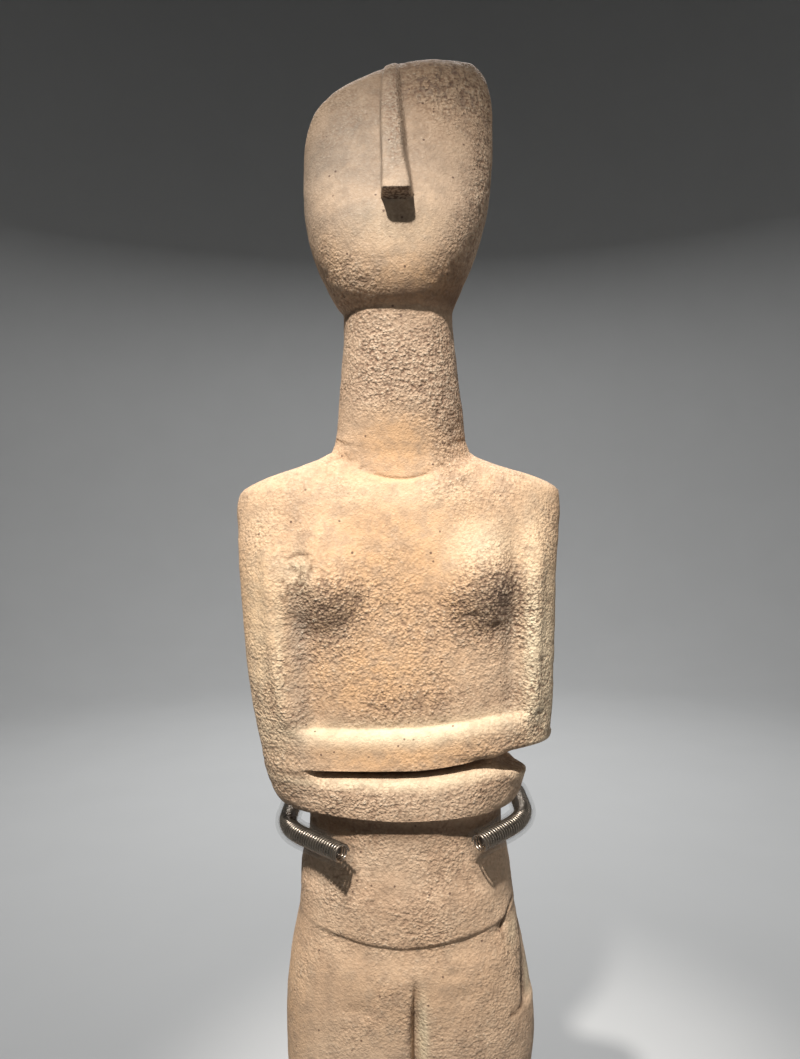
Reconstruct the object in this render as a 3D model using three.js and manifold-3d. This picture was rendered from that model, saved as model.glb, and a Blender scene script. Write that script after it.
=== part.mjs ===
// A tall marble folded-arm figurine of Cycladic type, held upright by its display stand: a steel base plate,
// a post behind the back, a bent cradle rod round the waist with sprung clear sleeves, and a rest under the
// feet.
// Millimetres, +Z up, the figurine faces -Y. The origin is the centre of the base plate's underside.

import * as THREE from "three";
import { mergeVertices } from "three/addons/utils/BufferGeometryUtils.js";
import Module from "manifold-3d";

// Driving sizes of the figurine. Heights are measured upwards from the tip of the toes.
const CROWN = 1390;
const CROWN_BEND = 1250; // above this the rows of the head bend to follow the outline of the crown
const CROWN_ROUNDING = 26;
const JAW = 1145;
const NECK_LINE = 997;
const BREAST = 908;
const ELBOW_RIGHT = 766;
const FOREARM_UPPER = { top: 788, bottom: 755, slope: 14 };
const FOREARM_LOWER = { top: 750, bottom: 713, slope: 15, endSlope: 5 };
const BELLY_LINE = 603;
const CLEFT_TOP = 582;

// How far the carved lines leave the level: the belly line sags in the middle and the neck line at the front,
// the forearms rise towards the figurine's left elbow, and the lower edge turns up at both ends.
const BELLY_LINE_SAG = 20;
const NECK_LINE_SAG = 24;
const FOREARM_RISE = { upper: 11, lower: 6.5 };
const ELBOW_LIFT = 9;
const TIP_LIFT = 4.5;
const TIP_DROP = 11;

// Depths of the carving.
const ARM_RAISE = 8;
const ARM_RIDGE = 3;
const FOREARM_RAISE = 8;
const TIP_RAISE = 9;
const BREAST_RAISE = 11;
const NECK_STEP = 3;
const NECK_HALF = 62.5;
const NECK_POWER = 2.5;
const NOSE_TIP = 1229;
const NOSE_TOP = 1386;

// Driving sizes of the stand.
const PLATE = { width: 380, depth: 320, thick: 15, corner: 12, bevel: 1.5 };
const TOE_LIFT = 15; // from the base plate's top to the tip of the toes
const POST = { radius: 9, y: 92, top: 754 };
const SOCKET = { flangeRadius: 32, flangeThick: 10, collarRadius: 17, top: 38, boltCircle: 24 };
const CRADLE = { height: 726, tilt: 0.03, pitch: 0.05, rod: 4.6, barY: 68, sideX: 107, corner: 28 };
const ROD_RECESS = 9; // how far the rod's ends lie inside the sleeves
const COIL = { inner: 6.2, outer: 7.9 };
const SLEEVE = { inner: 9.1, outer: 11.7, reach: 174 };
const CLAMP = { width: 44, height: 34, screw: 4 };
const TOE_REST = { width: 92, front: -102, toe: -62, back: 8, slope: 0.72, below: 1.5 };
const GAP = 0.3;

const TOE_HEIGHT = PLATE.thick + TOE_LIFT;

// The figurine's sections: height, half width on the viewer's left and right, front, middle and back depth,
// and the power of the superellipse that rounds the section.
const SECTIONS = [
  [0, 60, 60, -88, -73, -58, 2.4],
  [10, 63, 63, -90, -68, -44, 2.5],
  [28, 60, 60, -80, -50, -20, 2.6],
  [46, 54, 54, -64, -26, 6, 2.6],
  [62, 50, 50, -48, -10, 22, 2.5],
  [78, 47, 47, -36, -3, 29, 2.4],
  [98, 45, 45, -28, 1, 29, 2.3],
  [135, 48, 48, -27, 3, 31, 2.3],
  [200, 60, 60, -30, 5, 40, 2.3],
  [255, 69, 69, -35, 4, 46, 2.3],
  [310, 74, 74, -42, 0, 40, 2.3],
  [350, 78, 78, -51, -5, 32, 2.4],
  [395, 84, 85, -55, -6, 31, 2.4],
  [445, 96, 98, -56, -4, 39, 2.4],
  [486, 107, 110, -58, -2, 48, 2.4],
  [514, 108.5, 113, -59, 0, 54, 2.4],
  [545, 108, 111.5, -59, 0, 57, 2.4],
  [581, 104, 106, -58, 0, 55, 2.4],
  [608, 99, 99.5, -57, 0, 49, 2.4],
  [635, 95, 95, -57, 0, 43, 2.4],
  [657, 94, 93, -55, 0, 40, 2.2],
  [676, 90, 90, -54, 0, 39, 2.1],
  [686, 86.5, 86.5, -54, 0, 39, 2.1],
  [703, 86, 86, -54, 0, 39, 2.1],
  [711, 93.5, 86.5, -54, 0, 40, 2.4],
  [716, 101.5, 89, -54, 0, 40, 2.5],
  [724, 109, 93.5, -54, 0, 40, 2.5],
  [735, 115, 97, -54, 0, 41, 2.6],
  [747, 117.5, 99.5, -54, 0, 42, 2.8],
  [756, 119.5, 90.5, -54, 0, 43, 2.9],
  [ELBOW_RIGHT - 5, 120, 91, -54, 0, 43, 2.9],
  [ELBOW_RIGHT, 120.5, 115.5, -54, 0, 43, 2.9],
  [ELBOW_RIGHT + 7, 121.8, 122.5, -54, 0, 44, 3],
  [800, 127, 124.5, -55, 0, 46, 3.1],
  [853, 133.2, 127.2, -56, 1, 50, 3.2],
  [907, 136.8, 128.7, -56, 2, 52, 3.2],
  [930, 139, 131, -55, 2, 52, 3.1],
  [950, 144, 137, -53, 3, 51, 3],
  [975, 147, 141.5, -49, 4, 50, 2.9],
  [988, 144.5, 141, -46, 4, 48, 2.7],
  [1000, 126.5, 122, -43, 4, 46, 2.4],
  [1013, 89, 82, -41, 3, 43, 2.3],
  [1021.5, 68.5, 64.5, -40, 2, 40, 2.4],
  [1025, 63.5, 62.4, -40, 2, 39.5, 2.5],
  [1034, 60.3, 59.4, -40, 2, 39, 2.5],
  [1055, 56.5, 57, -41, 2, 38, 2.5],
  [1095, 53, 52, -43, 2, 38, 2.5],
  [1136, 50, 48, -45, 2, 39, 2.4],
  [JAW, 50, 47.8, -46.5, 2, 40, 2.3],
  [1149, 50.8, 48, -51.5, 0, 40.5, 2.25],
  [1155, 56, 49.8, -56, -2, 41, 2.25],
  [1164, 61.5, 54, -60.5, -4, 42, 2.25],
  [1174, 66.5, 58.5, -63.8, -5, 43, 2.25],
  [1188, 73, 64.5, -65.5, -5, 44.5, 2.3],
  [1212, 80, 73, -65, -3, 48, 2.35],
  [CROWN_BEND, 85, 82, -54, 3, 53, 2.4],
  [1300, 86, 87.5, -37, 12, 60, 2.4],
  [1350, 87, 89.5, -18, 22, 65, 2.4],
  [CROWN, 87, 89.5, -2, 30, 66, 2.4],
];

// The crown's outline as seen from the front: distance from the axis and height.
const CROWN_OUTLINE = [
  [-87, 1268],
  [-84, 1304],
  [-79, 1325],
  [-71, 1341],
  [-56, 1356],
  [-34, 1369],
  [-12, 1379],
  [8, 1386],
  [40, CROWN],
  [67, 1389],
  [80, 1378],
  [86, 1356],
  [89, 1274],
];

// The arms' inner slopes: height, and the distances from the axis where the slope starts and ends.
const ARM_SLOPE_LEFT = [
  [700, 62, 76],
  [750, 69, 83],
  [796, 76, 95],
  [840, 80, 105],
  [940, 90, 112],
];
const ARM_SLOPE_RIGHT = [
  [700, 90, 104],
  [785, 92, 106],
  [850, 93, 107],
  [940, 95, 112],
];

// The ridge of the nose: height, middle, half width and how far it stands out.
const NOSE = [
  [NOSE_TIP, -0.3, 14.3, 22],
  [1270, -2.4, 12.5, 18.5],
  [1310, -3.8, 11, 13],
  [1345, -5, 9.8, 8],
  [NOSE_TOP, -4.2, 6.5, 3.5],
];

// The cleft between the legs at the front: height, half width and depth.
const CLEFT = [
  [0, 9, 26],
  [60, 8, 34],
  [100, 7, 24],
  [250, 9, 32],
  [350, 12, 28],
  [450, 13, 18],
  [500, 12, 15],
  [535, 11, 12],
  [562, 7, 6],
  [CLEFT_TOP, 2, 0],
];

const clamp01 = (x) => Math.min(1, Math.max(0, x));

function smooth(from, to, x) {
  const s = clamp01((x - from) / (to - from));
  return s * s * (3 - 2 * s);
}

// One near the middle, fading to nothing at the reach on both sides.
const bump = (middle, reach, x) => 1 - smooth(0.25 * reach, reach, Math.abs(x - middle));

// A smooth curve through points whose first number rises. It never overshoots.
function curve(points, column = 1) {
  const x = points.map((p) => p[0]);
  const y = points.map((p) => p[column]);
  const last = x.length - 1;
  const slope = (i) => (y[i + 1] - y[i]) / (x[i + 1] - x[i]);
  const tangent = x.map((_, i) => {
    if (i === 0) return slope(0);
    if (i === last) return slope(last - 1);
    const before = slope(i - 1);
    const after = slope(i);
    return before * after <= 0 ? 0 : (2 * before * after) / (before + after);
  });
  return (at) => {
    const v = Math.min(x[last], Math.max(x[0], at));
    let i = 0;
    while (i < last - 1 && v > x[i + 1]) i += 1;
    const step = x[i + 1] - x[i];
    const s = (v - x[i]) / step;
    const rise = s * s * (3 - 2 * s);
    const lean = s * (1 - s);
    return (
      y[i] * (1 - rise) + y[i + 1] * rise + step * lean * ((1 - s) * tangent[i] - s * tangent[i + 1])
    );
  };
}

const halfLeft = curve(SECTIONS, 1);
const halfRight = curve(SECTIONS, 2);
const frontDepth = curve(SECTIONS, 3);
const middleDepth = curve(SECTIONS, 4);
const backDepth = curve(SECTIONS, 5);
const roundness = curve(SECTIONS, 6);
const crownHeight = curve(CROWN_OUTLINE);
const armLeft = { start: curve(ARM_SLOPE_LEFT, 1), end: curve(ARM_SLOPE_LEFT, 2) };
const armRight = { start: curve(ARM_SLOPE_RIGHT, 1), end: curve(ARM_SLOPE_RIGHT, 2) };
const noseMiddle = curve(NOSE, 1);
const noseHalf = curve(NOSE, 2);
const noseHeight = curve(NOSE, 3);
const cleftHalf = curve(CLEFT, 1);
const cleftDepth = curve(CLEFT, 2);

// How far a row at this level is lifted where it passes the angle and x, so that the carved lines run along
// the rows.
function rowShift(level, angle, x) {
  const across = Math.cos(angle);
  const belly = BELLY_LINE_SAG * Math.abs(across) ** 1.6 * bump(BELLY_LINE, 60, level);
  const neck = NECK_LINE_SAG * across ** 2 * bump(NECK_LINE, 46, level);
  const nearArms = smooth(690, FOREARM_LOWER.top, level) * (1 - smooth(800, 860, level));
  const lower = FOREARM_RISE.lower * smooth(0, 85, x);
  const upper = FOREARM_RISE.upper * smooth(0, 105, x);
  const rise = lower + (upper - lower) * smooth(FOREARM_LOWER.top - 1, FOREARM_UPPER.bottom + 1, level);
  const underTop = smooth(FOREARM_LOWER.bottom, FOREARM_LOWER.top, level);
  const nearTop = underTop * (1 - smooth(FOREARM_LOWER.top, FOREARM_UPPER.bottom + 2, level));
  const drop = TIP_DROP * smooth(74, 100, x) * nearTop;
  const ends = ELBOW_LIFT * Math.min(1.1, Math.max(0, -x / 94)) ** 1.5 + TIP_LIFT * smooth(60, 95, x);
  return belly + neck + rise * nearArms - drop + ends * bump(FOREARM_LOWER.bottom, 34, level);
}

// One below the top by the run, falling to nothing at the top on a quarter of an ellipse.
const ledge = (top, run, level) => Math.sqrt(1 - clamp01((level - top + run) / run) ** 2);

// The raised forearms and what lies between them, as a share of their full height.
function forearmRaise(level) {
  const raised = ({ top, bottom, slope }) => ledge(top, slope, level) * smooth(bottom - 1.5, bottom, level);
  const slit = 0.5 * bump(FOREARM_UPPER.bottom - 2.5, 2.5, level);
  return Math.max(raised(FOREARM_UPPER), raised(FOREARM_LOWER)) - slit;
}

// The arms, raised from the chest and the waist, with a low ridge along the inner edge and a hollow inside.
// Positive x is the figurine's own left.
function armRelief(level, x, isFront) {
  const arm = x < 0 ? armLeft : armRight;
  const start = arm.start(level);
  const end = arm.end(level);
  const fade = 1 - smooth(925, 970, level);
  const elbow = x < 0 ? FOREARM_LOWER.bottom - 3 : FOREARM_UPPER.bottom - 1;
  const band = smooth(start, end, Math.abs(x)) * fade * smooth(elbow - 2, elbow, level);
  if (!isFront) return 0.45 * ARM_RAISE * band;
  const forearm = FOREARM_RAISE * forearmRaise(level);
  const onLeftArm = x < 0 ? band : 0;
  const above = smooth(FOREARM_UPPER.top - 8, FOREARM_UPPER.top + 14, level) * fade;
  const ridge = ARM_RIDGE * Math.exp(-(((Math.abs(x) - end) / 5) ** 2));
  const hollow = ARM_RIDGE * Math.exp(-(((Math.abs(x) - start + 2) / 8) ** 2));
  const arms = ARM_RAISE * band + (forearm - Math.max(0, forearm) * (x > 0 ? band : 0)) * (1 - onLeftArm);
  return arms + (ridge - hollow) * above;
}

// The blunt end of the lower forearm, which wraps round to the figurine's left side with a sharper top edge.
function tipRelief(level, x, sine) {
  const { top, bottom, slope, endSlope } = FOREARM_LOWER;
  const low = bottom + 5 * smooth(85, 105, x);
  const within = smooth(low - 2, low + 1, level) * (1 - smooth(top - 3, top, level));
  const atEnd = smooth(60, 95, x) * smooth(0.05, -0.15, sine);
  const squarer = ledge(top, endSlope, level) - ledge(top, slope, level);
  const sharper = FOREARM_RAISE * squarer * smooth(80, 98, x) * smooth(bottom, bottom + 6, level);
  return ((TIP_RAISE - FOREARM_RAISE) * within + sharper) * atEnd;
}

function breastRelief(level, x) {
  const rise = (side) => {
    const above = level - BREAST;
    const r = Math.hypot((x - side) / 44, above / (above > 0 ? 62 : 42));
    return r < 1 ? (1 - r * r) ** 1.6 : 0;
  };
  return BREAST_RAISE * (rise(-71) + rise(70));
}

// The nose has a steep side at the viewer's left and a softer one at the right, and a blunt tip.
function noseRelief(level, x) {
  const offset = (x - noseMiddle(level)) / noseHalf(level);
  const softFrom = 0.58 - 0.23 * smooth(NOSE_TIP + 8, NOSE_TIP + 50, level);
  const sides = (1 - smooth(0.76, 1, -offset)) * (1 - smooth(softFrom, 1, offset));
  const rounded = 1 - 0.12 * clamp01(Math.abs(offset + 0.15)) ** 2;
  const tip = NOSE_TIP + 3.5 * clamp01(Math.abs(offset + 0.1)) ** 4;
  return noseHeight(level) * sides * rounded * smooth(tip - 1.5, tip + 0.3, level);
}

// The line under the belly: the belly ends sharply above it, and the thighs come out again gently below.
function bellyLineRelief(level) {
  const above = level - BELLY_LINE;
  const width = above > 0 ? 2.8 : 17;
  return -2.5 * Math.exp(-((above / width) ** 2));
}

// The height of the line where the neck stands on the chest.
const neckLine = (x) => NECK_LINE + 1.04 * NECK_LINE_SAG * Math.min(1.3, Math.abs(x) / 61) ** 1.8;

// The step back from the chest to the neck, with a line cut into its corner.
function neckLineRelief(height, x) {
  const above = height - neckLine(x);
  const step = smooth(-1, 1, above) * (1 - smooth(5, 50, above));
  const cut = Math.exp(-((above / 2) ** 2));
  return -(NECK_STEP * step + 2 * cut) * (1 - 0.8 * smooth(46, 66, Math.abs(x)));
}

// The round of the neck as a share of its depth, and how much of it shows at a height: the shoulders slope up
// to it.
const neckSection = (x) => (1 - Math.min(1, Math.abs(x) / NECK_HALF) ** NECK_POWER) ** (1 / NECK_POWER);
const neckWeight = (height, x) =>
  smooth(-16, 1, height - neckLine(x)) * (1 - smooth(1020, 1030, height)) * (1 - smooth(56, 66, Math.abs(x)));

// The cleft has a steep side at the viewer's left, a wide one at the right, and leans right at the top.
function cleftRelief(level, x, isFront) {
  const middle = isFront ? 2 + 3.5 * smooth(300, 460, level) : 1;
  const offset = (x - middle) / cleftHalf(level);
  const front = offset < 0 ? 1 - smooth(0, 0.45, -offset) : 1 - clamp01(offset / 0.95);
  const wall = isFront ? front : 1 - smooth(0, 1, Math.abs(offset));
  const depth = isFront ? cleftDepth(level) : 0.7 * cleftDepth(level - 20);
  const valley = 4 * smooth(CLEFT_TOP, 420, level) * Math.exp(-(((x - 3) / 26) ** 2));
  return -depth * wall - valley;
}

function backRelief(level, x) {
  const spine = -3.5 * Math.exp(-((x / 7) ** 2)) * smooth(640, 700, level) * (1 - smooth(940, 985, level));
  const halves = Math.exp(-(((x - 48) / 32) ** 2)) + Math.exp(-(((x + 46) / 32) ** 2));
  return spine + 5 * bump(560, 70, level) * halves;
}

// How far the surface stands out from the plain section, at a level and the height that it is lifted to, a
// distance from the axis and an angle whose sine is negative at the front.
function relief(level, height, x, sine) {
  const isFront = sine <= 0;
  const facing = smooth(0.05, 0.45, Math.abs(sine));
  const arms = level < 990 && level > 690 ? armRelief(level, x, isFront) : 0;
  const inFront = 0.2 + 0.8 * smooth(0.5, 0.9, -sine);
  const lines = bellyLineRelief(level) * inFront + neckLineRelief(height, x);
  const legs = level < CLEFT_TOP ? cleftRelief(level, x, isFront) * facing : 0;
  if (!isFront) return (arms + backRelief(level, x)) * facing + lines + legs;
  const aroundSide = x > 0 && level < ELBOW_RIGHT ? 1 : facing;
  const forms = tipRelief(level, x, sine) + (breastRelief(level, x) + noseRelief(level, x)) * facing;
  return arms * aroundSide + lines + legs + forms;
}

// A point of the figurine's surface. The angle runs round the section from the viewer's right.
function surfacePoint(level, angle) {
  const across = Math.cos(angle);
  const sine = Math.sin(angle);
  const power = roundness(level);
  const reach = (Math.abs(across) ** power + Math.abs(sine) ** power) ** (-1 / power);
  const halfWidth = across < 0 ? halfLeft : halfRight;
  const crown = crownHeight(halfWidth(CROWN) * reach * across);
  const bend = clamp01((level - CROWN_BEND) / (CROWN - CROWN_BEND));
  const shift = rowShift(level, angle, halfWidth(level) * reach * across);
  const height = level + shift + bend * (crown - CROWN);
  const half = halfWidth(height);
  const x = half * reach * across;
  const middle = middleDepth(height);
  const depth = sine < 0 ? middle - frontDepth(height) : backDepth(height) - middle;
  const section = reach * Math.abs(sine);
  const drawnIn = section + (neckSection(x) - section) * neckWeight(height, x);
  const y = depth * Math.sign(sine) * drawnIn;
  const nx = (Math.sign(across) * Math.abs(reach * across) ** (power - 1)) / half;
  const ny = (Math.sign(sine) * section ** (power - 1)) / depth;
  const stretch = relief(level, height, x, sine) / Math.hypot(nx, ny);
  const closing = Math.sqrt(1 - Math.max(0, (level - CROWN + CROWN_ROUNDING) / CROWN_ROUNDING) ** 2);
  const toes = Math.sqrt(1 - Math.max(0, 1 - level / 9) ** 2);
  const thin = Math.max(0.12, Math.min(closing, toes));
  return [x + nx * stretch, middle + (y + ny * stretch) * thin, height];
}

// Angles round a section, closer together where it is flattest, from the viewer's left by the front.
function sectionAngles(front, back) {
  const spread = 0.2;
  const half = (count, start) =>
    Array.from({ length: count }, (_, i) => {
      const k = (i / count) * Math.PI;
      return start + k + spread * Math.sin(2 * k);
    });
  return [...half(front, -Math.PI), ...half(back, 0)];
}

// Row levels: a plain spacing between each pair of neighbouring stops, and the stops themselves.
function rowLevels(stops) {
  const rows = [stops[0][0]];
  for (let i = 1; i < stops.length; i += 1) {
    const [low] = stops[i - 1];
    const [high, spacing] = stops[i];
    const count = Math.max(1, Math.round((high - low) / spacing));
    for (let k = 1; k <= count; k += 1) rows.push(low + ((high - low) * k) / count);
  }
  return rows;
}

const ROW_STOPS = [
  [0],
  [5, 5],
  [10, 5],
  [98, 18],
  [310, 53],
  [CLEFT_TOP, 34],
  [BELLY_LINE - 5, 16],
  [BELLY_LINE, 5],
  [BELLY_LINE + 3, 3],
  [676, 24],
  [696, 10],
  [FOREARM_LOWER.bottom - 2, 17],
  [FOREARM_LOWER.bottom, 2],
  [FOREARM_LOWER.top - FOREARM_LOWER.slope, 21],
  [FOREARM_LOWER.top - 4, 11],
  [FOREARM_UPPER.bottom - 2.5, 5.5],
  [FOREARM_UPPER.bottom, 2.5],
  [ELBOW_RIGHT - 5, 10],
  [FOREARM_UPPER.top - FOREARM_UPPER.slope, 13],
  [FOREARM_UPPER.top - 4, 10],
  [FOREARM_UPPER.top, 4],
  [BREAST - 42, 39],
  [BREAST, 11],
  [975, 17],
  [NECK_LINE - 3, 10],
  [NECK_LINE, 3],
  [NECK_LINE + 9, 9],
  [1134, 26],
  [JAW, 11],
  [1149, 4],
  [1174, 12],
  [NOSE_TIP - 1.5, 28],
  [NOSE_TIP + 0.5, 2],
  [CROWN - CROWN_ROUNDING, 24],
  [CROWN - 6, 10],
  [CROWN - 1, 5],
  [CROWN, 1],
];
const COLUMNS_FRONT = 28;
const COLUMNS_BACK = 14;

// Closes a row with triangles that run to and fro between its front and its back.
function capTriangles(first, isTop) {
  const columns = COLUMNS_FRONT + COLUMNS_BACK;
  const triangles = [];
  let front = 0;
  let back = 0;
  while (front < COLUMNS_FRONT || back < COLUMNS_BACK) {
    const onFront = first + front;
    const onBack = first + ((columns - back) % columns);
    const stepFront = (front + 1) / COLUMNS_FRONT <= (back + 1) / COLUMNS_BACK;
    if (stepFront) front += 1;
    else back += 1;
    const next = stepFront ? first + front : first + columns - back;
    if (next !== onFront && next !== onBack && onFront !== onBack) triangles.push([onFront, next, onBack]);
  }
  return triangles.flatMap(([a, b, c]) => (isTop ? [a, b, c] : [a, c, b]));
}

// The surface as a stack of rows, closed at the toes and at the crown.
function figurineGeometry() {
  const rows = rowLevels(ROW_STOPS);
  const angles = sectionAngles(COLUMNS_FRONT, COLUMNS_BACK);
  const columns = angles.length;
  const positions = rows.flatMap((level) => angles.flatMap((angle) => surfacePoint(level, angle)));
  const lastRow = (rows.length - 1) * columns;
  const index = [...capTriangles(0, false), ...capTriangles(lastRow, true)];
  for (let r = 0; r < rows.length - 1; r += 1) {
    for (let c = 0; c < columns; c += 1) {
      const a = r * columns + c;
      const b = r * columns + ((c + 1) % columns);
      index.push(a, b, b + columns, a, b + columns, a + columns);
    }
  }
  const geometry = new THREE.BufferGeometry();
  geometry.setAttribute("position", new THREE.Float32BufferAttribute(positions, 3));
  geometry.setIndex(index);
  return geometry;
}

const wasm = await Module();
wasm.setup();

function toManifold(geometry) {
  const plain = geometry.clone();
  Object.keys(plain.attributes).forEach((key) => key !== "position" && plain.deleteAttribute(key));
  const welded = mergeVertices(plain, 1e-4);
  return new wasm.Manifold(
    new wasm.Mesh({
      numProp: 3,
      vertProperties: new Float32Array(welded.attributes.position.array),
      triVerts: new Uint32Array(welded.index.array),
    }),
  );
}

function toGeometry(solid) {
  const mesh = solid.getMesh();
  const geometry = new THREE.BufferGeometry();
  geometry.setAttribute("position", new THREE.BufferAttribute(Float32Array.from(mesh.vertProperties), 3));
  geometry.setIndex(new THREE.BufferAttribute(Uint32Array.from(mesh.triVerts), 1));
  return geometry;
}

// A path through the corners of a polygon, with each corner rounded off from the given distance before it.
function roundedPath(corners) {
  const at = corners.map(([x, y]) => new THREE.Vector2(x, y));
  const last = corners.length - 1;
  const path = new THREE.Path().moveTo(at[0].x, at[0].y);
  for (let i = 1; i < last; i += 1) {
    const cut = corners[i][2];
    const before = at[i].clone().add(at[i - 1].clone().sub(at[i]).setLength(cut));
    const after = at[i].clone().add(at[i + 1].clone().sub(at[i]).setLength(cut));
    path.lineTo(before.x, before.y).quadraticCurveTo(at[i].x, at[i].y, after.x, after.y);
  }
  return path.lineTo(at[last].x, at[last].y);
}

// The cradle's rod as seen from above, from its end at the viewer's left to its end at the right.
const [sideLeft, sideRight] = [-CRADLE.sideX, CRADLE.sideX];
const cradlePath = roundedPath([
  [-50, -71.5],
  [sideLeft, -14.5, 26],
  [sideLeft, CRADLE.barY, CRADLE.corner],
  [sideRight, CRADLE.barY, CRADLE.corner],
  [sideRight, -14.5, 26],
  [58, -63.5],
]);
const cradleLength = cradlePath.getLength();

// The stretch of the cradle's rod between two distances from its left end, in its slightly tilted plane.
class CradleStretch extends THREE.Curve {
  constructor(from, to) {
    super();
    this.from = from;
    this.to = to;
  }

  getPoint(t, target = new THREE.Vector3()) {
    const { x, y } = cradlePath.getPointAt((this.from + (this.to - this.from) * t) / cradleLength);
    return target.set(x, y, CRADLE.height + CRADLE.tilt * x + CRADLE.pitch * y);
  }
}

// A round bar along a curve, or a tube where an inner radius is given.
function bentBar(curve, steps, sides, outer, inner = 0) {
  const section = new THREE.Shape().absarc(0, 0, outer, 0, 2 * Math.PI);
  if (inner > 0) section.holes.push(new THREE.Path().absarc(0, 0, inner, 0, 2 * Math.PI, true));
  return new THREE.ExtrudeGeometry(section, { extrudePath: curve, steps, curveSegments: sides / 2 });
}

function upright(radius, bottom, top, sides = 24) {
  const cylinder = new THREE.CylinderGeometry(radius, radius, top - bottom, sides);
  return cylinder.rotateX(Math.PI / 2).translate(0, 0, (bottom + top) / 2);
}

function turned(profile, sides = 20) {
  return new THREE.LatheGeometry(
    profile.map(([radius, z]) => new THREE.Vector2(radius, z)),
    sides,
  ).rotateX(Math.PI / 2);
}

function plateGeometry() {
  const { width, depth, thick, corner, bevel } = PLATE;
  const [halfX, halfY] = [width / 2 - bevel, depth / 2 - bevel];
  const outline = new THREE.Shape();
  outline.moveTo(-halfX + corner, -halfY);
  outline.lineTo(halfX - corner, -halfY);
  outline.absarc(halfX - corner, -halfY + corner, corner, -Math.PI / 2, 0);
  outline.absarc(halfX - corner, halfY - corner, corner, 0, Math.PI / 2);
  outline.absarc(-halfX + corner, halfY - corner, corner, Math.PI / 2, Math.PI);
  outline.absarc(-halfX + corner, -halfY + corner, corner, Math.PI, 1.5 * Math.PI);
  const geometry = new THREE.ExtrudeGeometry(outline, {
    depth: thick - 2 * bevel,
    bevelSize: bevel,
    bevelThickness: bevel,
    bevelSegments: 1,
    curveSegments: 3,
  });
  return toGeometry(toManifold(geometry.translate(0, 0, bevel)));
}

// The sloped rest under the soles. Its front stands level under the toes.
function toeRestGeometry() {
  const { width, front, toe, back, slope, below } = TOE_REST;
  const bottom = PLATE.thick + GAP;
  const low = TOE_HEIGHT - below;
  const outline = new THREE.Shape();
  outline.moveTo(front, bottom);
  outline.lineTo(back, bottom);
  outline.lineTo(back, low + slope * (back - toe));
  outline.lineTo(toe, low);
  outline.lineTo(front, low);
  outline.closePath();
  const geometry = new THREE.ExtrudeGeometry(outline, { depth: width, bevelEnabled: false });
  geometry.rotateY(Math.PI / 2).rotateX(Math.PI / 2).translate(-width / 2, 0, 0);
  return toGeometry(toManifold(geometry));
}

function socketGeometry() {
  const bottom = PLATE.thick + GAP;
  const { flangeRadius, flangeThick, collarRadius, top } = SOCKET;
  const hole = POST.radius + GAP;
  return turned(
    [
      [hole, bottom],
      [flangeRadius, bottom],
      [flangeRadius, bottom + flangeThick - 1.5],
      [flangeRadius - 1.5, bottom + flangeThick],
      [collarRadius, bottom + flangeThick],
      [collarRadius, bottom + top - 1.5],
      [collarRadius - 1.5, bottom + top],
      [hole, bottom + top],
      [hole, bottom],
    ],
    24,
  ).translate(0, POST.y, 0);
}

function postGeometry() {
  const { radius, y, top } = POST;
  const bottom = PLATE.thick + GAP;
  return turned([
    [0, bottom],
    [radius, bottom],
    [radius, top - 1.5],
    [radius - 1.5, top],
    [0, top],
  ]).translate(0, y, 0);
}

// The block that holds the cradle's crossbar to the post.
const BAR_HEIGHT = CRADLE.height + CRADLE.pitch * CRADLE.barY;
function clampGeometry() {
  const front = CRADLE.barY - 12;
  const back = POST.y + POST.radius + 8;
  const block = new THREE.BoxGeometry(CLAMP.width, back - front, CLAMP.height);
  block.translate(0, (front + back) / 2, 0);
  const postHole = upright(POST.radius + GAP, -CLAMP.height, CLAMP.height).translate(0, POST.y, 0);
  const rodHole = new THREE.CylinderGeometry(CRADLE.rod + 2 * GAP, CRADLE.rod + 2 * GAP, 2 * CLAMP.width, 20)
    .rotateZ(Math.PI / 2)
    .rotateY(-Math.atan(CRADLE.tilt))
    .translate(0, CRADLE.barY, 0);
  const drilled = toManifold(block).subtract(toManifold(postHole)).subtract(toManifold(rodHole));
  return toGeometry(drilled).translate(0, 0, BAR_HEIGHT);
}

// A cap screw with a hexagon socket, standing on the level z = 0.
function capScrew(radius, height) {
  const profile = [
    [0, 0],
    [radius, 0],
    [radius, height - 0.8],
    [radius - 0.8, height],
    [0, height],
  ];
  const head = toManifold(turned(profile, 12));
  const hexagon = new THREE.CylinderGeometry(radius * 0.5, radius * 0.5, height, 6).rotateX(Math.PI / 2);
  return toGeometry(head.subtract(toManifold(hexagon).translate([0, 0, height])));
}

const group = new THREE.Group();
const marble = new THREE.MeshStandardMaterial({ color: 0xc9a982, roughness: 0.8, metalness: 0 });
const steel = new THREE.MeshStandardMaterial({ color: 0x8f8d88, roughness: 0.35, metalness: 1 });
const darkMetal = new THREE.MeshStandardMaterial({ color: 0x26272a, roughness: 0.55, metalness: 0.2 });
const clear = new THREE.MeshStandardMaterial({ color: 0xe6e4de, roughness: 0.15 });
clear.transparent = true;
clear.opacity = 0.3;

function add(name, geometry, material) {
  const mesh = new THREE.Mesh(geometry, material);
  mesh.name = name;
  group.add(mesh);
  return mesh;
}

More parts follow.
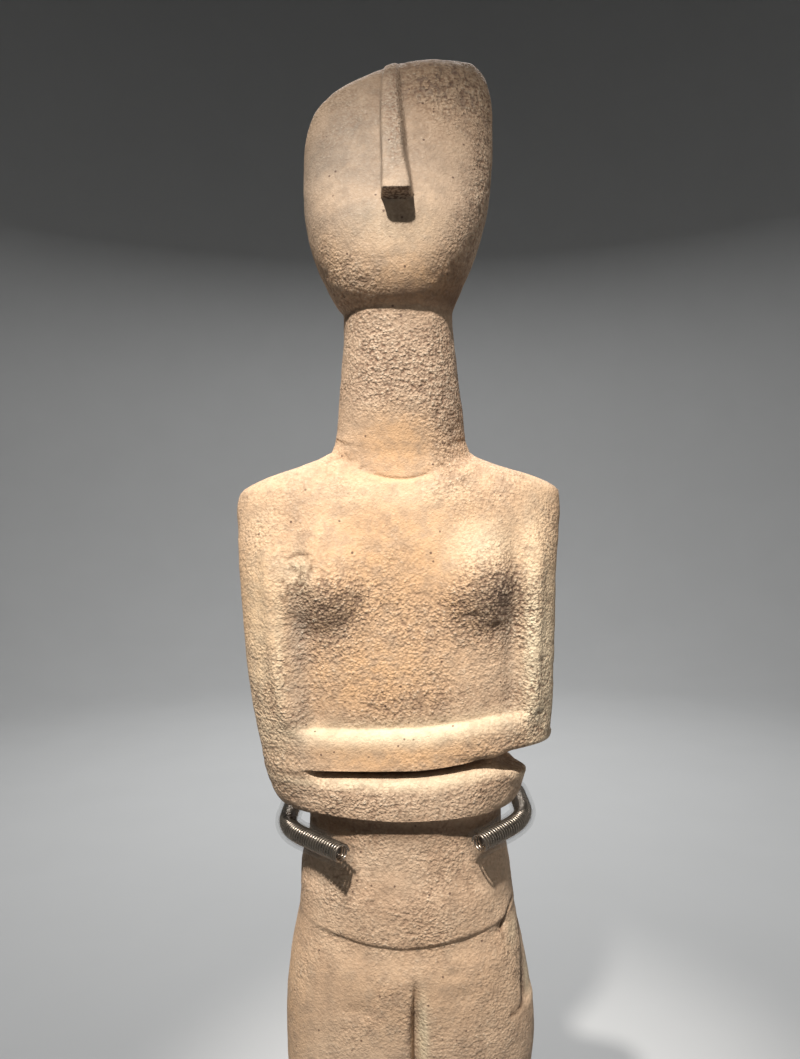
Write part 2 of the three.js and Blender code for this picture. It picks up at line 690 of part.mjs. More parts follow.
add("figurine", figurineGeometry().translate(0, 0, TOE_HEIGHT), marble);
add("base_plate", plateGeometry(), darkMetal);
add("toe_rest", toeRestGeometry(), darkMetal);
add("post_socket", toGeometry(toManifold(socketGeometry())), darkMetal);
add("post", toGeometry(toManifold(postGeometry())), darkMetal);
add("clamp_block", clampGeometry(), darkMetal);
const rodCurve = new CradleStretch(ROD_RECESS, cradleLength - ROD_RECESS);
add("cradle_rod", bentBar(rodCurve, 52, 8, CRADLE.rod), steel);
[
  ["left", 0, SLEEVE.reach],
  ["right", cradleLength, cradleLength - SLEEVE.reach],
].forEach(([side, start, end]) => {
  const inward = Math.sign(end - start);
  const coilCurve = new CradleStretch(start + 3 * inward, end - 3 * inward);
  const sleeveCurve = new CradleStretch(start, end);
  add(`coil_${side}`, bentBar(coilCurve, 18, 8, COIL.outer, COIL.inner), steel);
  add(`sleeve_${side}`, bentBar(sleeveCurve, 18, 10, SLEEVE.outer, SLEEVE.inner), clear);
});
[45, 135, 225, 315].forEach((degrees, i) => {
  const angle = THREE.MathUtils.degToRad(degrees);
  const screw = add(`socket_screw_${i + 1}`, capScrew(4, 4.5), steel);
  const level = PLATE.thick + SOCKET.flangeThick + 2 * GAP;
  const reach = SOCKET.boltCircle;
  screw.position.set(reach * Math.cos(angle), POST.y + reach * Math.sin(angle), level);
});
const clampScrew = add("clamp_screw", capScrew(CLAMP.screw, 4.5), steel);
clampScrew.rotation.x = -Math.PI / 2;
clampScrew.position.set(0, POST.y + POST.radius + 8 + GAP, BAR_HEIGHT);

export default group;
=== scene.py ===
"""The looks of a tall marble folded-arm figurine on its display stand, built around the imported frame.

Sizes are in millimetres, and are turned into metres where a mesh is made. The figurine's heights are measured
upwards from the tip of its toes. It faces -Y, and the viewer's left is -X.
"""

import math

import bpy
import numpy as np
from mathutils import Matrix, Vector, noise


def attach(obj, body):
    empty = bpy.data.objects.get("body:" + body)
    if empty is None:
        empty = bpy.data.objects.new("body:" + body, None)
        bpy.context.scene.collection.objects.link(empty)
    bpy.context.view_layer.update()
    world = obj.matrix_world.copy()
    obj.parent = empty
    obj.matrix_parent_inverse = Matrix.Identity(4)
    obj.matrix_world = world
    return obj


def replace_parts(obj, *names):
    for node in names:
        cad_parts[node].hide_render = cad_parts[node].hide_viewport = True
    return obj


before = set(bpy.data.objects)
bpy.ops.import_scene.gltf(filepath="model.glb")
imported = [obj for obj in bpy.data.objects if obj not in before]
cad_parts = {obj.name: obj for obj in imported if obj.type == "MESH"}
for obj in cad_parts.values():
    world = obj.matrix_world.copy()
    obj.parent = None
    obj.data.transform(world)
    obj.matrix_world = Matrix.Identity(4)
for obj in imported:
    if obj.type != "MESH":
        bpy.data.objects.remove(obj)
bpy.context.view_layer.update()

MM = 0.001

# Driving sizes of the figurine, the same as in the part.
CROWN = 1390
CROWN_BEND = 1250
CROWN_ROUNDING = 26
JAW = 1145
NECK_LINE = 997
BREAST = 908
BREAST_LEFT = -71
BREAST_RIGHT = 70
BREAST_HALF = 44
BREAST_REACH_UP = 62
BREAST_REACH_DOWN = 42
ELBOW_RIGHT = 766
FOREARM_UPPER_TOP = 788
FOREARM_UPPER_BOTTOM = 755
FOREARM_LOWER_TOP = 750
FOREARM_LOWER_BOTTOM = 713
FOREARM_UPPER_SLOPE = 14
FOREARM_LOWER_SLOPE = 15
FOREARM_END_SLOPE = 5
BELLY_LINE = 603
CLEFT_TOP = 582
TOE_HEIGHT = 30

# How far the carved lines leave the level, and how far the forearms' ends are lifted or dropped.
BELLY_LINE_SAG = 20
NECK_LINE_SAG = 24
FOREARM_RISE_UPPER = 11
FOREARM_RISE_LOWER = 6.5
ELBOW_LIFT = 9
TIP_LIFT = 4.5
TIP_DROP = 11

# How far the carved forms stand out or in.
ARM_RAISE = 8
ARM_RIDGE = 3
FOREARM_RAISE = 8
TIP_RAISE = 9
BREAST_RAISE = 11
NECK_STEP = 3
BELLY_STEP = 2.5
NECK_HALF = 62.5
NECK_POWER = 2.5
NOSE_TIP = 1229
NOSE_TOP = 1386

# Height, half width on the viewer's left and right, front, middle and back depth, and the section's power.
SECTIONS = [
    (0, 60, 60, -88, -73, -58, 2.4),
    (10, 63, 63, -90, -68, -44, 2.5),
    (28, 60, 60, -80, -50, -20, 2.6),
    (46, 54, 54, -64, -26, 6, 2.6),
    (62, 50, 50, -48, -10, 22, 2.5),
    (78, 47, 47, -36, -3, 29, 2.4),
    (98, 45, 45, -28, 1, 29, 2.3),
    (135, 48, 48, -27, 3, 31, 2.3),
    (200, 60, 60, -30, 5, 40, 2.3),
    (255, 69, 69, -35, 4, 46, 2.3),
    (310, 74, 74, -42, 0, 40, 2.3),
    (350, 78, 78, -51, -5, 32, 2.4),
    (395, 84, 85, -55, -6, 31, 2.4),
    (445, 96, 98, -56, -4, 39, 2.4),
    (486, 107, 110, -58, -2, 48, 2.4),
    (514, 108.5, 113, -59, 0, 54, 2.4),
    (545, 108, 111.5, -59, 0, 57, 2.4),
    (581, 104, 106, -58, 0, 55, 2.4),
    (608, 99, 99.5, -57, 0, 49, 2.4),
    (635, 95, 95, -57, 0, 43, 2.4),
    (657, 94, 93, -55, 0, 40, 2.2),
    (676, 90, 90, -54, 0, 39, 2.1),
    (686, 86.5, 86.5, -54, 0, 39, 2.1),
    (703, 86, 86, -54, 0, 39, 2.1),
    (711, 93.5, 86.5, -54, 0, 40, 2.4),
    (716, 101.5, 89, -54, 0, 40, 2.5),
    (724, 109, 93.5, -54, 0, 40, 2.5),
    (735, 115, 97, -54, 0, 41, 2.6),
    (747, 117.5, 99.5, -54, 0, 42, 2.8),
    (756, 119.5, 90.5, -54, 0, 43, 2.9),
    (ELBOW_RIGHT - 5, 120, 91, -54, 0, 43, 2.9),
    (ELBOW_RIGHT, 120.5, 115.5, -54, 0, 43, 2.9),
    (ELBOW_RIGHT + 7, 121.8, 122.5, -54, 0, 44, 3),
    (800, 127, 124.5, -55, 0, 46, 3.1),
    (853, 133.2, 127.2, -56, 1, 50, 3.2),
    (907, 136.8, 128.7, -56, 2, 52, 3.2),
    (930, 139, 131, -55, 2, 52, 3.1),
    (950, 144, 137, -53, 3, 51, 3),
    (975, 147, 141.5, -49, 4, 50, 2.9),
    (988, 144.5, 141, -46, 4, 48, 2.7),
    (1000, 126.5, 122, -43, 4, 46, 2.4),
    (1013, 89, 82, -41, 3, 43, 2.3),
    (1021.5, 68.5, 64.5, -40, 2, 40, 2.4),
    (1025, 63.5, 62.4, -40, 2, 39.5, 2.5),
    (1034, 60.3, 59.4, -40, 2, 39, 2.5),
    (1055, 56.5, 57, -41, 2, 38, 2.5),
    (1095, 53, 52, -43, 2, 38, 2.5),
    (1136, 50, 48, -45, 2, 39, 2.4),
    (JAW, 50, 47.8, -46.5, 2, 40, 2.3),
    (1149, 50.8, 48, -51.5, 0, 40.5, 2.25),
    (1155, 56, 49.8, -56, -2, 41, 2.25),
    (1164, 61.5, 54, -60.5, -4, 42, 2.25),
    (1174, 66.5, 58.5, -63.8, -5, 43, 2.25),
    (1188, 73, 64.5, -65.5, -5, 44.5, 2.3),
    (1212, 80, 73, -65, -3, 48, 2.35),
    (CROWN_BEND, 85, 82, -54, 3, 53, 2.4),
    (1300, 86, 87.5, -37, 12, 60, 2.4),
    (1350, 87, 89.5, -18, 22, 65, 2.4),
    (CROWN, 87, 89.5, -2, 30, 66, 2.4),
]

# The crown's outline as seen from the front: distance from the axis and height.
CROWN_OUTLINE = [
    (-87, 1268),
    (-84, 1304),
    (-79, 1325),
    (-71, 1341),
    (-56, 1356),
    (-34, 1369),
    (-12, 1379),
    (8, 1386),
    (40, CROWN),
    (67, 1389),
    (80, 1378),
    (86, 1356),
    (89, 1274),
]

# The arms' inner slopes: height, and the distances from the axis where the slope starts and ends.
ARM_SLOPE_LEFT = [
    (700, 62, 76),
    (750, 69, 83),
    (796, 76, 95),
    (840, 80, 105),
    (940, 90, 112),
]
ARM_SLOPE_RIGHT = [
    (700, 90, 104),
    (785, 92, 106),
    (850, 93, 107),
    (940, 95, 112),
]

# The ridge of the nose: height, middle, half width and how far it stands out.
NOSE = [
    (NOSE_TIP, -0.3, 14.3, 22),
    (1270, -2.4, 12.5, 18.5),
    (1310, -3.8, 11, 13),
    (1345, -5, 9.8, 8),
    (NOSE_TOP, -4.2, 6.5, 3.5),
]

# The cleft between the legs at the front: height, half width and depth.
CLEFT = [
    (0, 9, 26),
    (60, 8, 34),
    (100, 7, 24),
    (250, 9, 32),
    (350, 12, 28),
    (450, 13, 18),
    (500, 12, 15),
    (535, 11, 12),
    (562, 7, 6),
    (CLEFT_TOP, 2, 0),
]


def smooth(start, end, value):
    """Zero before start, one after end, and an even rise between them."""
    s = np.clip((value - start) / (end - start), 0, 1)
    return s * s * (3 - 2 * s)


def bump(middle, reach, value):
    """One near the middle, fading to nothing at the reach on both sides."""
    return 1 - smooth(0.25 * reach, reach, np.abs(value - middle))


def curve(points, column=1):
    """A smooth curve through points whose first number rises. It never overshoots."""
    table = np.array(points, dtype=float)
    x = table[:, 0]
    y = table[:, column]
    slopes = np.diff(y) / np.diff(x)
    before = slopes[:-1]
    after = slopes[1:]
    turning = before * after <= 0
    total = np.where(turning, 1, before + after)
    inner = np.where(turning, 0, 2 * before * after / total)
    tangent = np.concatenate([slopes[:1], inner, slopes[-1:]])

    def value(at):
        v = np.clip(at, x[0], x[-1])
        i = np.clip(np.searchsorted(x, v) - 1, 0, len(x) - 2)
        step = x[i + 1] - x[i]
        s = (v - x[i]) / step
        rise = s * s * (3 - 2 * s)
        lean = s * (1 - s)
        level = y[i] * (1 - rise) + y[i + 1] * rise
        return level + step * lean * ((1 - s) * tangent[i] - s * tangent[i + 1])

    return value


half_left = curve(SECTIONS, 1)
half_right = curve(SECTIONS, 2)
front_depth = curve(SECTIONS, 3)
middle_depth = curve(SECTIONS, 4)
back_depth = curve(SECTIONS, 5)
section_power = curve(SECTIONS, 6)
crown_height = curve(CROWN_OUTLINE)
arm_starts = (curve(ARM_SLOPE_LEFT, 1), curve(ARM_SLOPE_RIGHT, 1))
arm_ends = (curve(ARM_SLOPE_LEFT, 2), curve(ARM_SLOPE_RIGHT, 2))
nose_middle = curve(NOSE, 1)
nose_half = curve(NOSE, 2)
nose_height = curve(NOSE, 3)
cleft_half = curve(CLEFT, 1)
cleft_depth = curve(CLEFT, 2)


def row_shift(level, angle, x):
    """How far a row at this level is lifted at the angle, so that the carved lines run along the rows."""
    across = np.cos(angle)
    belly = BELLY_LINE_SAG * np.abs(across) ** 1.6 * bump(BELLY_LINE, 60, level)
    neck = NECK_LINE_SAG * across**2 * bump(NECK_LINE, 46, level)
    near_arms = smooth(690, FOREARM_LOWER_TOP, level) * (1 - smooth(800, 860, level))
    lower = FOREARM_RISE_LOWER * smooth(0, 85, x)
    upper = FOREARM_RISE_UPPER * smooth(0, 105, x)
    rise = lower + (upper - lower) * smooth(FOREARM_LOWER_TOP - 1, FOREARM_UPPER_BOTTOM + 1, level)
    under_top = smooth(FOREARM_LOWER_BOTTOM, FOREARM_LOWER_TOP, level)
    near_top = under_top * (1 - smooth(FOREARM_LOWER_TOP, FOREARM_UPPER_BOTTOM + 2, level))
    drop = TIP_DROP * smooth(74, 100, x) * near_top
    ends = ELBOW_LIFT * np.clip(-x / 94, 0, 1.1) ** 1.5 + TIP_LIFT * smooth(60, 95, x)
    return belly + neck + rise * near_arms - drop + ends * bump(FOREARM_LOWER_BOTTOM, 34, level)


def ledge(top, run, level):
    """One below the top by the run, falling to nothing at the top on a quarter of an ellipse."""
    return np.sqrt(1 - np.clip((level - top + run) / run, 0, 1) ** 2)


def forearm_raise(level):
    """The raised forearms and what lies between them, as a share of their full height."""
    upper = ledge(FOREARM_UPPER_TOP, FOREARM_UPPER_SLOPE, level)
    upper = upper * smooth(FOREARM_UPPER_BOTTOM - 1.5, FOREARM_UPPER_BOTTOM, level)
    lower = ledge(FOREARM_LOWER_TOP, FOREARM_LOWER_SLOPE, level)
    lower = lower * smooth(FOREARM_LOWER_BOTTOM - 1.5, FOREARM_LOWER_BOTTOM, level)
    return np.maximum(upper, lower) - 0.5 * bump(FOREARM_UPPER_BOTTOM - 2.5, 2.5, level)


def arm_relief(level, x, is_front):
    """The arms, raised from the chest and the waist, with a ridge and a hollow along the inner edge."""
    start = np.where(x < 0, arm_starts[0](level), arm_starts[1](level))
    end = np.where(x < 0, arm_ends[0](level), arm_ends[1](level))
    fade = 1 - smooth(925, 970, level)
    elbow = np.where(x < 0, FOREARM_LOWER_BOTTOM - 3, FOREARM_UPPER_BOTTOM - 1)
    below = smooth(0, 2, level - elbow + 2)
    band = smooth(0, 1, (np.abs(x) - start) / (end - start)) * fade * below
    forearm = FOREARM_RAISE * forearm_raise(level)
    on_left_arm = np.where(x < 0, band, 0)
    on_right_arm = np.where(x > 0, band, 0)
    front = ARM_RAISE * band + (forearm - np.maximum(0, forearm) * on_right_arm) * (1 - on_left_arm)
    above = smooth(FOREARM_UPPER_TOP - 8, FOREARM_UPPER_TOP + 14, level) * fade
    ridge = ARM_RIDGE * np.exp(-(((np.abs(x) - end) / 5) ** 2))
    hollow = ARM_RIDGE * np.exp(-(((np.abs(x) - start + 2) / 8) ** 2))
    front = front + (ridge - hollow) * above
    return np.where(is_front, front, 0.45 * ARM_RAISE * band) * ((level < 990) & (level > 690))


def tip_relief(level, x, sine):
    """The blunt end of the lower forearm, which wraps round to the figurine's left with a sharper top."""
    low = FOREARM_LOWER_BOTTOM + 5 * smooth(85, 105, x)
    within = smooth(-2, 1, level - low) * (1 - smooth(FOREARM_LOWER_TOP - 3, FOREARM_LOWER_TOP, level))
    at_end = smooth(60, 95, x) * smooth(0.05, -0.15, sine)
    squarer = ledge(FOREARM_LOWER_TOP, FOREARM_END_SLOPE, level)
    squarer = squarer - ledge(FOREARM_LOWER_TOP, FOREARM_LOWER_SLOPE, level)
    near_bottom = smooth(0, 1, (level - FOREARM_LOWER_BOTTOM) / 6)
    sharper = FOREARM_RAISE * squarer * smooth(80, 98, x) * near_bottom
    return ((TIP_RAISE - FOREARM_RAISE) * within + sharper) * at_end


def breast_relief(level, x):
    """The breasts are round below and run out further above."""

    def rise(middle):
        sideways = (x - middle) / BREAST_HALF
        above = level - BREAST
        upright = np.where(above > 0, above / BREAST_REACH_UP, above / BREAST_REACH_DOWN)
        r = np.minimum(1, np.hypot(sideways, upright))
        return (1 - r * r) ** 1.6

    return BREAST_RAISE * (rise(BREAST_LEFT) + rise(BREAST_RIGHT))


def nose_relief(level, x):
    """The ridge of the nose: its flank is steep at the viewer's left and softer at the right."""
    half = nose_half(level)
    offset = (x - nose_middle(level)) / half
    soft_from = 0.58 - 0.23 * smooth(NOSE_TIP + 8, NOSE_TIP + 50, level)
    left = 1 - smooth(0.76, 1, -offset)
    right = 1 - smooth(soft_from, 1, offset)
    rounded = 1 - 0.12 * np.clip(np.abs(offset + 0.15), 0, 1) ** 2
    tip = NOSE_TIP + 3.5 * np.clip(np.abs(offset + 0.1), 0, 1) ** 4
    return nose_height(level) * left * right * rounded * smooth(-1.5, 0.3, level - tip)


def belly_line_relief(level):
    """The line under the belly: the belly ends sharply above it, and the thighs come out again below."""
    above = level - BELLY_LINE
    width = np.where(above > 0, 2.8, 17)
    return -BELLY_STEP * np.exp(-((above / width) ** 2))


def neck_line(x):
    """The height of the line where the neck stands on the chest."""
    return NECK_LINE + 1.04 * NECK_LINE_SAG * np.minimum(1.3, np.abs(x) / 61) ** 1.8


def neck_line_relief(height, x):
    """The step back from the chest to the neck, with a line cut into its corner."""
    above = height - neck_line(x)
    step = smooth(-1, 1, above) * (1 - smooth(5, 50, above))
    cut = np.exp(-((above / 2) ** 2))
    return -(NECK_STEP * step + 2 * cut) * (1 - 0.8 * smooth(46, 66, np.abs(x)))


def neck_section(x):
    """The round of the neck, as a share of its depth."""
    return (1 - np.minimum(1, np.abs(x) / NECK_HALF) ** NECK_POWER) ** (1 / NECK_POWER)


def neck_weight(height, x):
    """How much of the neck's round shows at a height: the shoulders slope up to it."""
    near = (1 - smooth(1020, 1030, height)) * (1 - smooth(56, 66, np.abs(x)))
    return smooth(-16, 1, height - neck_line(x)) * near


def cleft_relief(level, x, is_front):
    """The cleft is steep at the viewer's left and wide at the right. It leans to the right at the top."""
    middle = np.where(is_front, 2 + 3.5 * smooth(300, 460, level), 1)
    offset = (x - middle) / cleft_half(level)
    front = np.where(offset < 0, 1 - smooth(0, 0.45, -offset), 1 - np.clip(offset / 0.95, 0, 1))
    wall = np.where(is_front, front, 1 - smooth(0, 1, np.abs(offset)))
    depth = np.where(is_front, cleft_depth(level), 0.7 * cleft_depth(level - 20))
    valley = 4 * smooth(CLEFT_TOP, 420, level) * np.exp(-(((x - 3) / 26) ** 2))
    return (-depth * wall - valley) * (level < CLEFT_TOP)


def back_relief(level, x):
    """The line of the spine and the two rounds below it."""
    spine = -3.5 * np.exp(-((x / 7) ** 2)) * smooth(640, 700, level) * (1 - smooth(940, 985, level))
    halves = np.exp(-(((x - 48) / 32) ** 2)) + np.exp(-(((x + 46) / 32) ** 2))
    return spine + 5 * bump(560, 70, level) * halves


def relief(level, height, x, sine):
    """How far the surface stands out from the plain section, at a level and the height that it is lifted to.

    The angle's sine is negative at the front.
    """
    is_front = sine <= 0
    facing = smooth(0.05, 0.45, np.abs(sine))
    around_side = np.where(is_front & (x > 0) & (level < ELBOW_RIGHT), 1, facing)
    arms = arm_relief(level, x, is_front) * around_side
    in_front = 0.2 + 0.8 * smooth(0.5, 0.9, -sine)
    lines = belly_line_relief(level) * in_front + neck_line_relief(height, x)
    legs = cleft_relief(level, x, is_front) * facing
    front = tip_relief(level, x, sine) + (breast_relief(level, x) + nose_relief(level, x)) * facing
    return arms + lines + legs + np.where(is_front, front, back_relief(level, x) * facing)


def surface(level, angle):
    """The figurine's surface. The angle runs round the section from the viewer's right."""
    across = np.cos(angle)
    sine = np.sin(angle)
    power = section_power(level)
    reach = (np.abs(across) ** power + np.abs(sine) ** power) ** (-1 / power)
    crown_half = np.where(across < 0, half_left(CROWN), half_right(CROWN))
    bend = np.clip((level - CROWN_BEND) / (CROWN - CROWN_BEND), 0, 1)
    crown = crown_height(crown_half * reach * across)
    plain_half = np.where(across < 0, half_left(level), half_right(level))
    height = level + row_shift(level, angle, plain_half * reach * across) + bend * (crown - CROWN)
    half = np.where(across < 0, half_left(height), half_right(height))
    x = half * reach * across
    middle = middle_depth(height)
    depth = np.where(sine < 0, middle - front_depth(height), back_depth(height) - middle)
    section = reach * np.abs(sine)
    drawn_in = section + (neck_section(x) - section) * neck_weight(height, x)
    y = depth * np.sign(sine) * drawn_in
    nx = np.sign(across) * np.abs(reach * across) ** (power - 1) / half
    ny = np.sign(sine) * section ** (power - 1) / depth
    stretch = relief(level, height, x, sine) / np.hypot(nx, ny)
    closing = np.sqrt(1 - np.maximum(0, (level - CROWN + CROWN_ROUNDING) / CROWN_ROUNDING) ** 2)
    toes = np.sqrt(1 - np.maximum(0, 1 - level / 9) ** 2)
    thin = np.maximum(0.12, np.minimum(closing, toes))
    return np.stack([x + nx * stretch, middle + (y + ny * stretch) * thin, height], axis=-1)


# Row levels of the fine surface: the end of each stretch and the spacing in it.
ROW_STOPS = [
    (0, 1),
    (6, 1.5),
    (20, 2.4),
    (100, 5),
    (460, 6.5),
    (CLEFT_TOP, 2.8),
    (BELLY_LINE - 8, 2.4),
    (BELLY_LINE + 6, 0.9),
    (698, 2.6),
    (FOREARM_LOWER_BOTTOM - 2, 2.4),
    (FOREARM_LOWER_BOTTOM + 1, 0.5),
    (FOREARM_LOWER_TOP - 6, 2.2),
    (FOREARM_LOWER_TOP, 0.7),
    (FOREARM_UPPER_BOTTOM + 0.5, 0.45),
    (FOREARM_UPPER_TOP - 6, 2.1),
    (FOREARM_UPPER_TOP, 0.75),
    (975, 2.2),
    (NECK_LINE - 5, 2),
    (NECK_LINE + 5, 0.9),
    (JAW - 4, 2.6),
    (1170, 1.5),
    (NOSE_TIP - 1.5, 2.4),
    (NOSE_TIP + 0.5, 0.35),
    (NOSE_TIP + 5, 0.8),
    (CROWN - CROWN_ROUNDING, 2.5),
    (CROWN - 8, 1.5),
    (CROWN - 1, 0.8),
    (CROWN, 0.25),
]
COLUMNS_FRONT = 136
COLUMNS_BACK = 48


def row_levels(stops):
    """The levels of all rows, evenly spaced between the stops."""
    rows = [stops[0][0]]
    for (low, _), (high, spacing) in zip(stops, stops[1:]):
        count = max(1, round((high - low) / spacing))
        rows += [low + (high - low) * k / count for k in range(1, count + 1)]
    return np.array(rows)


def section_angles(front, back):
    """Angles round a section, closer together where it is flattest, from the viewer's left by the front."""
    spread = 0.2

    def half(count, start):
        k = np.arange(count) / count * math.pi
        return start + k + spread * np.sin(2 * k)

    return np.concatenate([half(front, -math.pi), half(back, 0)])


def cap_triangles(first, is_top):
    """Closes a row with triangles that run to and fro between its front and its back."""
    columns = COLUMNS_FRONT + COLUMNS_BACK
    triangles = []
    front = 0
    back = 0
    while front < COLUMNS_FRONT or back < COLUMNS_BACK:
        on_front = first + front
        on_back = first + (columns - back) % columns
        step_front = (front + 1) / COLUMNS_FRONT <= (back + 1) / COLUMNS_BACK
        if step_front:
            front += 1
            following = first + front
        else:
            back += 1
            following = first + columns - back
        if len({following, on_front, on_back}) == 3:
            corners = (on_front, following, on_back)
            triangles.append(corners if is_top else corners[::-1])
    return triangles


def grid_faces(rows, columns, closed_rows=False):
    """The faces of rings of points, each ring closed round; the last ring can also join the first."""
    row = np.arange(rows if closed_rows else rows - 1)[:, None]
    column = np.arange(columns)[None, :]
    following_row = (row + 1) % rows
    following_column = (column + 1) % columns
    corners = [
        row * columns + column,
        row * columns + following_column,
        following_row * columns + following_column,
        following_row * columns + column,
    ]
    return np.stack(corners, axis=-1).reshape(-1, 4).tolist()


def make_piece(name, points, faces, material, is_smooth=True):
    """A mesh piece from points in millimetres."""
    mesh = bpy.data.meshes.new(name)
    mesh.from_pydata((np.asarray(points) * MM).tolist(), [], faces)
    mesh.update()
    if is_smooth:
        mesh.shade_smooth()
    mesh.materials.append(material)
    piece = bpy.data.objects.new(name, mesh)
    bpy.context.collection.objects.link(piece)
    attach(piece, "root")
    return piece


def noise_field(points, size, octaves=1, seed=0):
    """Gradient noise, mostly between -1 and 1, with features about size millimetres across."""
    offset = Vector((17.3 * seed, 5.7 * seed, 11.1 * seed))
    values = [noise.fractal(Vector(p) / size + offset, 1.0, 2.0, octaves) for p in points.reshape(-1, 3)]
    return np.array(values).reshape(points.shape[:-1])


def spots(level, x, table):
    """The sum of soft oval spots: x, level, half width, half height and strength."""
    total = np.zeros_like(level)
    for at_x, at_level, half_x, half_level, strength in table:
        r2 = ((x - at_x) / half_x) ** 2 + ((level - at_level) / half_level) ** 2
        total += strength * np.exp(-r2)
    return total


# Where the front is pitted and granular: x, level, half width, half height and strength.
COARSE_SPOTS = [
    (-58, 888, 26, 24, 1.2),  # under the breast at the viewer's left
    (72, 893, 28, 32, 1.25),  # under the breast at the viewer's right
    (-84, 905, 10, 14, 0.4),
    (48, 1340, 44, 26, 0.7),  # the forehead
    (80, 1250, 14, 70, 0.8),  # the cheek's edge
    (-56, 1160, 36, 20, 0.6),
    (64, 1190, 20, 30, 0.6),
    (0, 1090, 40, 40, 0.7),  # the neck and its side
    (44, 1060, 18, 60, 0.9),
    (-108, 770, 28, 60, 0.4),
    (112, 800, 24, 90, 0.5),
    (0, 815, 110, 34, 0.3),
    (-3, 1300, 8, 70, 0.6),  # the nose
    (0, 728, 100, 12, 0.35),
]
# Where the front is smoother.
SMOOTH_SPOTS = [
    (0, 950, 80, 40, 0.15),
    (-30, 1250, 66, 80, 0.4),
    (30, 1215, 40, 50, 0.25),
    (-4, 1030, 30, 26, 0.6),
    (0, 784, 96, 10, 0.4),
    (-30, 765, 50, 14, 0.25),
    (0, 744, 90, 5, 0.2),
]
# Where the stone is greyer and darker. This is partly its own grey patina and partly painted shade in the
# arms' hollows and under the breasts. It also paints a dimming of the head and the hips, which lie away from
# the brightest light.
GREY_SPOTS = [
    (-10, 1270, 120, 110, 1.0),
    (-50, 1290, 50, 90, 0.3),
    (44, 1330, 50, 60, -0.7),
    (-88, 840, 10, 100, 0.9),
    (88, 850, 8, 90, 0.7),
    (-62, 885, 22, 24, 0.3),
    (78, 895, 20, 26, 0.5),
    (0, 500, 200, 90, 0.45),
    (0, 1080, 60, 60, 0.3),
    (45, 1060, 16, 60, 0.4),
    (-4, 1310, 9, 70, 0.4),
]
# Painted shade, mottled by the grain: under the nose, on the cleft's steep wall at the viewer's left, and in
# the hip's chip and along its scar. Under the breasts it is partly the stone's own dark pitting and partly
# painted shade.
DARK_SPOTS = [
    (-58, 886, 20, 18, 0.6),
    (84, 905, 16, 14, 0.9),
    (70, 884, 22, 20, 0.7),
    (4, 1213, 11, 13, 0.4),
    (3, 540, 3, 28, 0.8),
    (102, 556, 3, 9, 0.9),
    (81, 602, 5, 5, 0.8),
]
# Painted shade, an even dark brown: the shadow below the lower forearm, the gap between the forearms, the jaw
# at the viewer's right and under the nose.
SHADE_SPOTS = [
    (0, 702, 104, 9, 0.8),
    (0, 752, 90, 3, 1.1),
    (54, 1166, 22, 20, 0.7),
    (20, 1152, 60, 9, 0.55),
    (4, 1213, 11, 13, 0.25),
]
# Where the patina is a warm orange tan.
WARM_SPOTS = [
    (0, 930, 110, 80, 0.9),
    (-125, 880, 24, 80, 0.8),
    (-30, 830, 70, 34, 0.8),
    (0, 765, 90, 16, 1.0),
    (0, 1190, 60, 40, 0.6),
    (-64, 1190, 24, 40, 0.5),
    (-118, 520, 26, 80, 0.9),
    (120, 900, 26, 90, 0.5),
    (0, 560, 110, 50, 0.4),
    (-2, 1032, 30, 24, 1.2),
    (40, 1165, 60, 14, 0.8),
]
# Where it is painted lighter. These are mostly painted highlights: on the breasts' tops, the arms' ridges and
# outer sides, the forearms' upper edges, the chest's top edge and the cleft's lit wall. There is also real
# paler wear on the flaked breast, the face and round the hip's scar.
PALE_SPOTS = [
    (-64, 940, 26, 18, -0.15),
    (66, 942, 30, 20, 0.6),
    (-104, 850, 4, 60, 0.45),
    (107, 850, 5, 80, 0.55),
    (0, 785, 96, 9, 1.0),
    (0, 744, 96, 5, 0.9),
    (120, 840, 18, 110, 0.9),
    (-122, 850, 18, 110, 0.5),
    (0, 1205, 36, 22, 0.25),
    (0, 985, 60, 12, 0.3),
    (-86, 920, 13, 18, 0.55),
    (12, 530, 4.5, 30, 1.3),
    (92, 590, 6, 10, 0.6),
    (110, 556, 4, 10, 0.9),
]
# Broad hollows and chips of the front: x, level, half width, half height and height in millimetres.
CHIPS = [
    (82, 600, 5, 4, -3.2),
    (112, 596, 8, 12, -1.2),
    (-42, 552, 14, 6, -1.8),
    (47, 562, 9, 7, -1.5),
    (40, 580, 7, 5, -1.2),
    (-80, 912, 7, 8, 1.2),
]
# The lost flake of the hip, and how much deeper the gap between the forearms is at its end.
SCAR_DEPTH = 3.4
SCAR_EDGE = 100
SCAR_BOTTOM = 541
SCAR_TOP = 606
GAP_DEPTH = 4
# Open cracks of the front, as lines of x and level: on the breast and round the scar of the hip.
CRACKS = [
    [(-96, 932), (-88, 936), (-79, 934), (-76, 923), (-82, 911), (-94, 900)],
    [(-93, 924), (-85, 920), (-89, 908)],
    [(-102, 915), (-96, 908), (-98, 896)],
    [(104, 590), (100.5, 572), (100, 550), (97, 543), (88, 540)],
    [(92, 612), (86, 606), (82, 597), (83, 590)],
]
CRACK_WIDTH = 1.3
CRACK_DEPTH = 1.5
# Where fine cracks and slanting scores show in the colour.
CRACKED_SPOTS = [(-86, 916, 12, 16, 0.5), (98, 570, 12, 24, 0.6)]
STREAKED_SPOTS = [(40, 1352, 44, 26, 1.2), (70, 1315, 16, 26, 0.6)]


def normals_of(points):
    """Unit normals of a grid of points whose rows are closed rings."""
    along = np.roll(points, -1, axis=1) - np.roll(points, 1, axis=1)
    up = np.gradient(points, axis=0)
    normals = np.cross(along, up)
    return normals / np.maximum(1e-9, np.linalg.norm(normals, axis=-1, keepdims=True))


